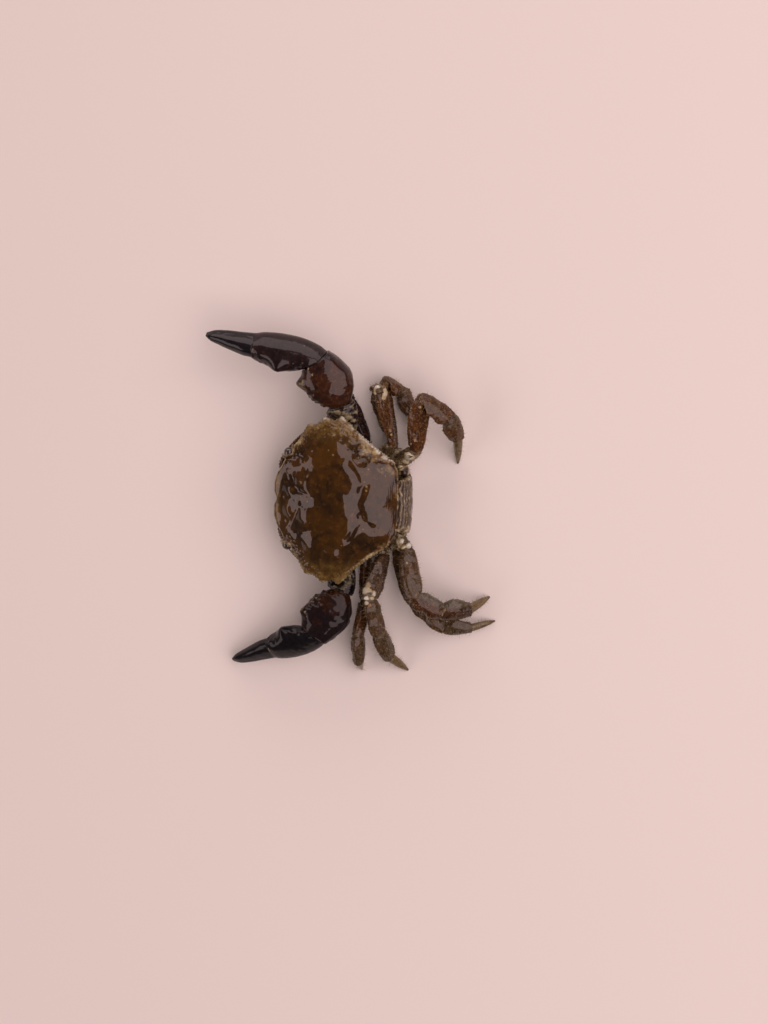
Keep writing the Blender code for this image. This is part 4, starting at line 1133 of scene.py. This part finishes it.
WRIST_KNUCKLES = {"left": [(7.95, -2.78, 0.1, 0.05, 0.8), (8.34, -2.69, 0.12, 0.05, 0.7)],
                  "right": [(-8.25, -3.3, 0.13, 0.05, 0.7), (-9.25, -2.95, 0.12, 0.04, 0.65),
                            (-8.7, -2.5, 0.12, 0.04, 0.6)]}
for claw_number, (side_name, pose) in enumerate(CLAWS.items()):
    side = -1 if side_name == "right" else 1
    claw_finish, wrist_finish = CLAW_FINISHES[side_name]
    seed = 200 + claw_number * 20
    joints = [coxa_root(side_name, 1)] + [np.array(p) for p in pose[:5]]
    hip, elbow, wrist, knuckle, tip = joints[1:]
    tooth_tip = np.array(pose[5])
    lean, size = pose[6:]
    planes = joint_planes(joints)
    palm_run = unit(knuckle - wrist)
    planes[3] = unit(unit(wrist - elbow) * WRIST_CUT + palm_run * (1 - WRIST_CUT))
    finger_run = unit(tip - knuckle)

    add_coxa("claw_" + side_name, joints[0], hip, planes, 0, 1.0, seed)

    grid, along = limb_grid(hip, elbow, planes[1], planes[2], CLAW_MERUS, 0, size, 60, CLAW_SIDES, seed + 1)
    uppermost = smooth_step(0.0, 0.6, outward(grid)[..., 2]) * ((along > 0.15) & (along < 0.96))[:, None]
    beads = sprinkle(grid, uppermost * 0.4, 0.34, 0.12, 0.06, seed + 2)
    beads += sprinkle(grid, uppermost * 0.4, 0.2, 0.06, 0.03, seed + 3)
    grid, lift = raise_beads(grid, beads)
    cover = lumps(grid, 0.4, seed + 4) + 0.5 * lumps(grid, 0.15, seed + 5)
    mossy = uppermost * smooth_step(-0.3, 0.15, cover)
    pale = joint_paleness(along, CLAW_SIDES, 3.0) * 0.8 + lift * 4 + (0.95 if side < 0 else 0.5) * mossy
    pale = np.clip(pale, 0, 1)
    grid = swell(grid, 0.035 * mossy)
    make_piece("claw_%s_arm" % side_name, [(grid, pale, 0.0)], claw_finish,
               ["claw_%s_merus" % side_name])

    grid, along = limb_grid(elbow, wrist, planes[2], planes[3], CLAW_CARPUS, 0, size, 84, CLAW_SIDES,
                            seed + 3)
    body = ((along > 0.02) & (along < 0.98))[:, None]
    roughness = 0.012 if side < 0 else 0.05
    rugged = lumps(grid, 0.45, seed + 15) * roughness + lumps(grid, 1.0, seed + 16) * 0.03
    grid = swell(grid, rugged * body)
    outer_side = smooth_step(0.2, 0.95, outward(grid) @ unit(np.array([side * 0.8, 0.6, 0.2])))
    grid = swell(grid, 0.24 * outer_side * bell(along, 0.4, 0.3)[:, None])
    middle = elbow + (wrist - elbow) * 0.5
    tooth_axis = unit(tooth_tip - middle)
    inner = smooth_step(0.35, 0.9, outward(grid) @ tooth_axis) * ((along > 0.1) & (along < 0.97))[:, None]
    tooth_reach = (grid - middle) @ tooth_axis
    off_axis = np.linalg.norm(grid - middle - tooth_reach[..., None] * tooth_axis, axis=-1)
    spire = bell(off_axis, 0, 0.42 * size) * (tooth_reach > 0)
    full = np.linalg.norm(tooth_tip - middle)
    grid = grid + tooth_axis * (spire * np.clip(full - tooth_reach, 0, None))[..., None]
    inner = inner * smooth_step(0.62, 0.4, along)[:, None]
    beads = sprinkle(grid, inner * 0.3, 0.36, 0.17, 0.13, seed + 4)
    beads += sprinkle(grid, inner * 0.4, 0.2, 0.08, 0.06, seed + 5)
    grid, lift = raise_beads(grid, beads)
    worn_tooth = (0.95 if side < 0 else 0.6) * spire
    pale = joint_paleness(along, CLAW_SIDES, 3.5) * 0.5 + lift * 6 * inner + worn_tooth
    pale = np.clip(pale, 0, 1.1)
    dark = outward(grid) @ np.array([side * 0.9, -0.1, 0.25]) + lumps(grid, 0.8, seed) * 0.3
    # The left wrist is pushed 0.45 further to the dark trim: partly its own colour, partly painted shade.
    dark = smooth_step(0.1, 0.75, dark + 0.45 * (side > 0))
    skin = raise_knuckles(grid, pale, dark, WRIST_KNUCKLES[side_name])
    make_piece("claw_%s_wrist" % side_name, [skin], wrist_finish,
               ["claw_%s_carpus" % side_name])

    turn = math.radians(lean)
    up = np.array([-side * math.sin(turn), 0, math.cos(turn)])
    up = unit(up - palm_run * (up @ palm_run))
    start = wrist - planes[3] * (SHELL_GAP / 2)
    palm_share = eased(90)
    round_start = 0.94 + 0.06 * smooth_step(0.0, 0.1, palm_share)
    top, bottom, thick = (flow(PALM, palm_share) * size).T * round_start
    pull = np.clip(1 - palm_share / 0.35, 0, 1)[:, None]
    heading = palm_run + (planes[3] - palm_run) * pull
    heel = HEEL[2] * size * bell(palm_share, HEEL[0], HEEL[1])
    palm = flat_rings(start + (knuckle - start) * palm_share[:, None], heading, up, top, bottom, thick, heel)
    back = np.linspace(-NECK_LENGTH, -0.02, 6)
    squeeze = 0.75 + 0.21 * smooth_step(-NECK_LENGTH, 0, back)
    neck = flat_rings(start + planes[3] * back[:, None], planes[3], up, top[0] * squeeze,
                      bottom[0] * squeeze, thick[0] * squeeze)
    finger_share = np.linspace(0.04, 1, 60)
    top, bottom, thick = (flow(POLLEX, finger_share) * size).T
    top = top + 0.02 * size * np.abs(np.sin(finger_share * 22)) * (finger_share > 0.12) * (finger_share < 0.9)
    bend = np.minimum(1, finger_share * 2 + 0.2)[:, None]
    pollex = flat_rings(knuckle + (tip - knuckle) * finger_share[:, None],
                        palm_run + (finger_run - palm_run) * bend, up, top, bottom, thick)
    grid = np.concatenate([neck, palm, pollex])
    stage = np.concatenate([back, palm_share, 1 + finger_share])
    on_palm = ((stage > 0.03) & (stage < 0.97))[:, None] * np.ones(CLAW_SIDES)
    roughness = 0.003 if side < 0 else 0.012
    rugged = lumps(grid, 0.9, seed + 5) * 0.012 + lumps(grid, 0.3, seed + 6) * roughness
    grid = swell(grid, rugged * on_palm)
    ridge = on_palm * smooth_step(0.85, 0.99, outward(grid) @ up)
    beads = sprinkle(grid, ridge * 0.3, 0.42, 0.14, 0.04, seed + 7)
    grid, lift = raise_beads(grid, beads)
    press_on_floor(grid)
    broken = smooth_step(-0.25, 0.35, lumps(grid, 0.35, seed + 12)) * (0.45 if side < 0 else 1.0)
    border = np.exp(-(((stage[:, None] - 0.985 + 0.012 * lumps(grid, 0.3, seed + 13)) * 90) ** 2)) * broken
    pale = 0.12 * (stage < 0.02)[:, None] + 0.8 * border
    # The left palm takes the near-black horn all over: partly its own colour, partly painted shade.
    horn = np.maximum(smooth_step(0.99, 1.03, stage), 0.0 if side < 0 else 0.8)[:, None] * np.ones(CLAW_SIDES)
    horn = horn * (1 - border)
    make_piece("claw_%s_palm_shell" % side_name, [(grid, pale, horn)], claw_finish,
               ["claw_%s_palm" % side_name])

    hinge = knuckle + palm_run * SHELL_GAP
    share = np.linspace(0, 1, 70)
    top, bottom, thick = (flow(FINGER, share) * size).T
    bottom = bottom - 0.02 * size * np.abs(np.sin(share * 20 + 1)) * (share > 0.12) * (share < 0.9)
    bend = np.minimum(1, share * 2)[:, None]
    finger = flat_rings(hinge + (tip - hinge) * share[:, None], palm_run + (finger_run - palm_run) * bend,
                        up, top, bottom, thick)
    back = np.linspace(-0.5, -0.03, 6)
    squeeze = 0.6 + 0.3 * smooth_step(-0.5, 0, back)
    middle_high = (top[0] + bottom[0]) / 2
    half = (top[0] - bottom[0]) / 2
    neck = flat_rings(hinge + palm_run * back[:, None], palm_run, up, middle_high + half * squeeze,
                      middle_high - half * squeeze, thick[0] * squeeze)
    grid = np.concatenate([neck, finger])
    grid = swell(grid, lumps(grid, 0.6, seed + 8) * 0.015)
    make_piece("claw_%s_moving_finger" % side_name, [(grid, 0.0, 1.0)], claw_finish,
               ["claw_%s_dactylus" % side_name])
print("claw length in mm:", round(np.linalg.norm(tip - wrist), 1))

# %% [markdown]
# Underside
# Below, the crab is a pale breast plate crossed by grooves, with a stub for each limb, and the
# folded tail in a hollow of it. From above only the tail's first rings show behind the carapace,
# as a few narrow bands of cream and brown.

# %% Make the breast plate and the limb stubs
BREAST = [(-3.2, 1.0), (-2.6, 2.0), (-1.2, 2.7), (0.4, 3.0), (1.8, 2.95), (2.8, 2.7), (3.3, 2.4)]
BREAST_LEVELS = [(0.0, 0.86), (0.25, 0.97), (0.8, 1.0), (1.4, 0.96), (1.95, 0.9)]
BREAST_GROOVES = [-1.3, 0.0, 1.15, 2.15]
breast_y = np.linspace(BREAST[0][0], BREAST[-1][0], 70)
half_width = np.interp(breast_y, *np.array(BREAST).T)
loop_x = np.concatenate([half_width, -half_width[::-1]])
loop_y = np.concatenate([breast_y, breast_y[::-1]])
levels = np.linspace(0, 1.95, 26)
level_share = np.interp(levels, *np.array(BREAST_LEVELS).T)
# The flat underside closes in a few rings, and the walls rise from it.
rings = [ring_over(loop_x * 0.86 * inset + 1j * (loop_y * inset + 0.05 * (1 - inset)), 0.0)
         for inset in (0.05, 0.2, 0.4, 0.6, 0.8)]
rings += [ring_over(loop_x * share + 1j * loop_y, level) for level, share in zip(levels, level_share)]
breast = np.array(rings)
groove = sum(bell(breast[..., 1], y, 0.09) for y in BREAST_GROOVES)
trough = smooth_step(1.6, 1.3, abs(breast[..., 0])) * smooth_step(-1.9, -1.5, breast[..., 1])
breast[..., 2] += 0.07 * groove * (breast[..., 2] < 0.1) + 0.62 * trough * (breast[..., 2] < 0.3)
print("breast plate width in mm:", round(np.ptp(breast[..., 0]), 2))

# %% Fill the corners beside the tail
# A soft fleshy corner fills the angle between the tail and the last leg's stub on each side.
# For each side: the corner's middle, and a dark knob on it.
CORNERS = {-1: ((-2.05, 3.6, 1.3), (-1.97, 3.95, 0.34, 0.16, -1)),
           1: ((2.3, 3.55, 1.3), (2.28, 3.85, 0.26, 0.1, -1))}
turn = np.linspace(-0.98, 0.98, 40)
bulge = np.sqrt(1 - turn**2)
for side, (middle, knob) in CORNERS.items():
    line = np.array(middle) + turn[:, None] * np.array([0, 0.52, 0.1])
    corner = oval_rings(line, [0.0, 1, 0], UPWARDS, 0.6 * bulge, 0.62 * bulge, 0.0, 48, 2.0)
    corner = swell(corner, 0.06 * lumps(corner, 0.35, 60 + side))
    mottle = lumps(corner, 0.3, 62 + side)
    coxa_grids.append(raise_knuckles(corner, np.clip(0.45 + 0.9 * mottle, 0, 1.1),
                                     np.clip(-0.1 - 1.2 * mottle, 0, 1), [knob]))
make_piece("breast_plate", [(breast, 0.25, 0.48 * groove)] + coxa_grids, BELLY_SHELL,
           ["thorax"])
print("limb stubs and corners:", len(coxa_grids))

# %% Make the folded tail
TAIL_PATH = [(3.35, 2.95, 1.6), (3.85, 2.98, 1.85), (4.2, 2.45, 1.95), (4.26, 1.55, 2.0),
             (4.12, 0.9, 1.95), (3.72, 0.42, 1.8), (3.1, 0.3, 1.55), (2.3, 0.3, 1.35),
             (1.4, 0.3, 1.2), (0.5, 0.3, 1.05), (-0.4, 0.3, 0.95), (-1.2, 0.3, 0.75), (-1.8, 0.3, 0.4)]
TAIL_RIDGES = 0.17
# Here the tail lies against the carapace's edge, without the gap that the solids need.
TAIL_SHIFT = -0.14
path = np.array(TAIL_PATH) + np.array([TAIL_SHIFT, 0, 0]) * (np.arange(len(TAIL_PATH)) < 6)[:, None]
tail_share = np.linspace(0, 1, 240)
line = flow(np.column_stack([np.linspace(0, 1, len(path)), path]), tail_share)
centre = np.column_stack([tail_share * 0, line[:, 0], line[:, 1]])
run_along = length_along(centre)
heading = unit(np.gradient(centre, axis=0))
outer = np.cross(heading, np.array([1.0, 0, 0]))
tail = oval_rings(centre, heading, outer, line[:, 2], 0.3, 0.0, 128, 3.2)
# Its root sits a little to the left of the middle.
tail[..., 0] += 0.26 * smooth_step(3.4, 1.8, run_along)[:, None]
waviness = run_along[:, None] + 0.1 * lumps(tail, 0.6, 40) + 0.09 * (tail[..., 0] / 2) ** 2
ridge = np.cos(waviness / TAIL_RIDGES * math.tau) * smooth_step(2.0, 1.3, waviness)
segments = bell(np.mod(run_along, 0.85), 0.42, 0.05) * (run_along > 1.6)
off_floor = smooth_step(0.05, 0.25, tail[..., 2])
rugged = 0.03 * ridge * (0.7 + 0.6 * lumps(tail, 0.5, 44)) - (0.06 * segments)[:, None]
rugged = rugged + 0.04 * lumps(tail, 0.5, 41) + 0.03 * lumps(tail, 0.2, 42)
tail = swell(tail, rugged * off_floor)
press_on_floor(tail)
patchy = 0.5 + 0.6 * lumps(tail, 0.4, 43)
bands = 0.5 * np.clip(ridge, 0, 1) ** 2 * np.clip(patchy, 0, 1) + 0.08 * patchy
stain = np.clip(0.75 - ridge, 0, 1) * (0.8 + 0.25 * patchy) + 0.35 * segments[:, None]
ends = smooth_step(1.4, 1.75, abs(tail[..., 0] - 0.1)) * (run_along < 2.2)[:, None]
bands = bands + ends * (0.35 + 0.8 * lumps(tail, 0.3, 45))
stain = stain * (1 - 0.8 * ends)
make_piece("folded_tail", [(tail, bands, np.clip(stain, 0, 1))], BELLY_SHELL, ["abdomen"])
print("tail length in mm:", round(run_along[-1], 1))

# %% [markdown]
# Mouth doors and feelers
# The third maxillipeds close the mouth like a pair of doors, and a short ringed feeler folds back
# below each eye.

# %% Make the mouth doors and feelers
DOOR_ROWS = [(-3.75, 0.5, 0.2, 1.15), (-4.0, 0.8, 0.04, 1.4), (-4.5, 1.45, 0.03, 1.5),
             (-4.9, 1.95, 0.05, 1.4), (-5.08, 2.2, 0.12, 1.2)]
FEELER_PATH = [(1.9, -4.85, 2.3, 0.27), (2.6, -4.75, 2.35, 0.25), (3.4, -4.3, 2.3, 0.2),
               (4.2, -3.65, 2.3, 0.15), (4.9, -2.9, 2.4, 0.09)]
share = np.linspace(0, 1, 60)
door = flow(np.column_stack([np.linspace(0, 1, 5), DOOR_ROWS]), share)
feeler = flow(np.column_stack([np.linspace(0, 1, 5), FEELER_PATH]), share)
cap = np.sqrt(np.clip(1 - (np.abs(share - 0.5) * 2) ** 10, 0.02, 1))
door_run = unit(np.array([0, -1.4, 1.85]))
face_out = np.array([0, -1.85, -1.4]) / math.hypot(1.85, 1.4)
for side, name in ((-1, "right"), (1, "left")):
    middle = np.column_stack([side * (door[:, 2] + door[:, 3]) / 2, door[:, 0], door[:, 1]])
    wide = (door[:, 3] - door[:, 2]) / 2 * cap
    rings = oval_rings(middle, door_run, face_out, wide, 0.25 * cap, 0.0, 64, 6.0)
    hinge_line = bell(share, 0.62, 0.02)[:, None]
    rings = swell(rings, lumps(rings, 0.4, 31) * 0.02 - 0.06 * hinge_line)
    make_piece("mouth_door_" + name, [(rings, 0.2, hinge_line * 0.6)], BELLY_SHELL,
               ["maxilliped_" + name])
    middle = feeler[:, :3] * np.array([side, 1, 1])
    heading = unit(np.gradient(middle, axis=0))
    distance = length_along(middle)
    radius = feeler[:, 3] * (1 + 0.1 * np.cos(distance / 0.2 * math.tau)) * cap
    rings = oval_rings(middle, heading, UPWARDS, radius, radius, 0.0, 24, 2.0)
    make_piece("feeler_" + name, [(rings, 0.2, 0.0)], LEG_SHELL, ["antenna_" + name])
print("feeler length in mm:", round(distance[-1], 1))

# %% [markdown]
# Bristles
# Short stiff bristles stand along the crests and lips of the legs and claws. A hair system would
# do for a picture, but hair can't be exported, so each bristle is a thin bent cone of its own.
# Each one's place on the texture map is a small patch where its root would lie on its shell.

# %% Grow the bristles
BRISTLE_SIDES = 4
BRISTLE_RINGS = 4
PATCH = 0.003


def bristles(roots, length, radius, seed):
    """Thin bent cones; roots holds places, directions and map places."""
    picker = np.random.default_rng(seed)
    points = []
    faces = []
    places = []
    for place, direction, map_place in roots:
        long = length * picker.uniform(0.6, 1.3)
        sway = picker.normal(size=3) * 0.35
        direction = unit(direction + picker.normal(size=3) * 0.3)
        across = unit(np.cross(direction, sway + 1e-6))
        other = np.cross(direction, across)
        start = len(points)
        for r in range(BRISTLE_RINGS):
            t = r / (BRISTLE_RINGS - 1)
            middle = place + direction * long * (t - 0.1) + sway * long * 0.35 * t * t
            thin = radius * (1 - 0.85 * t)
            for k in range(BRISTLE_SIDES):
                turn = k * math.tau / BRISTLE_SIDES
                points.append(middle + (across * math.cos(turn) + other * math.sin(turn)) * thin)
        for r in range(BRISTLE_RINGS - 1):
            for k in range(BRISTLE_SIDES):
                low = start + r * BRISTLE_SIDES
                following = (k + 1) % BRISTLE_SIDES
                ring_step = low + BRISTLE_SIDES
                faces.append((low + k, low + following, ring_step + following, ring_step + k))
        faces.append(tuple(start + k for k in reversed(range(BRISTLE_SIDES))))
        faces.append(tuple(start + (BRISTLE_RINGS - 1) * BRISTLE_SIDES + k for k in range(BRISTLE_SIDES)))
        places += [map_place] * ((BRISTLE_RINGS - 1) * BRISTLE_SIDES + 2)
    return points, faces, places


def grow(name, skins, length, radius, chance, gap, seed):
    """One mesh of bristles on several skins; each skin is a grid and how likely bristles are."""
    roots = []
    side = math.ceil(math.sqrt(len(skins)))
    for number, (grid, likely) in enumerate(skins):
        normal = outward(grid)
        rows, columns = grid.shape[:2]
        lookup = {tuple(np.round(p, 5)): i for i, p in enumerate(grid.reshape(-1, 3))}
        for spot in scatter(grid, likely * chance, gap, seed + number):
            i = lookup[tuple(np.round(spot, 5))]
            u = (number % side + 0.05 + 0.9 * (i % columns) / columns) / side
            v = (number // side + 0.05 + 0.9 * (i // columns) / rows) / side
            roots.append((spot, normal.reshape(-1, 3)[i], (u, v)))
    points, faces, places = bristles(roots, length, radius, seed)
    mesh = bpy.data.meshes.new(name)
    points = np.array(points)
    points[:, 2] = np.maximum(points[:, 2], 0.005)
    mesh.from_pydata((points * MM).tolist(), [], faces)
    layer = mesh.uv_layers.new(name="OFBake")
    corner = 0
    for face, (u, v) in zip(faces, places):
        for k in range(len(face)):
            turn = k * math.tau / len(face)
            layer.data[corner].uv = (u + PATCH / 2 * math.cos(turn), v + PATCH / 2 * math.sin(turn))
            corner += 1
    hang(name, mesh, bristle)
    print(name, "has", len(roots), "bristles")


leg_skins = []
for (label, part), (grid, along) in leg_grids.items():
    upper_side = smooth_step(0.5, 0.9, outward(grid)[..., 2])
    likely = ((along > 0.1) & (along <= 1.0))[:, None] * (0.25 + 0.75 * upper_side)
    likely = likely + 0.8 * ((along > 0.93) & (along <= 1.0))[:, None]
    leg_skins.append((grid, likely))
stub_skins = [(grid, np.ones(grid.shape[:2])) for grid, _, _ in coxa_grids]
grow("leg_bristles", leg_skins, 0.30, 0.013, 0.25, 0.2, 700)
grow("stub_bristles", stub_skins, 0.25, 0.012, 0.15, 0.2, 720)
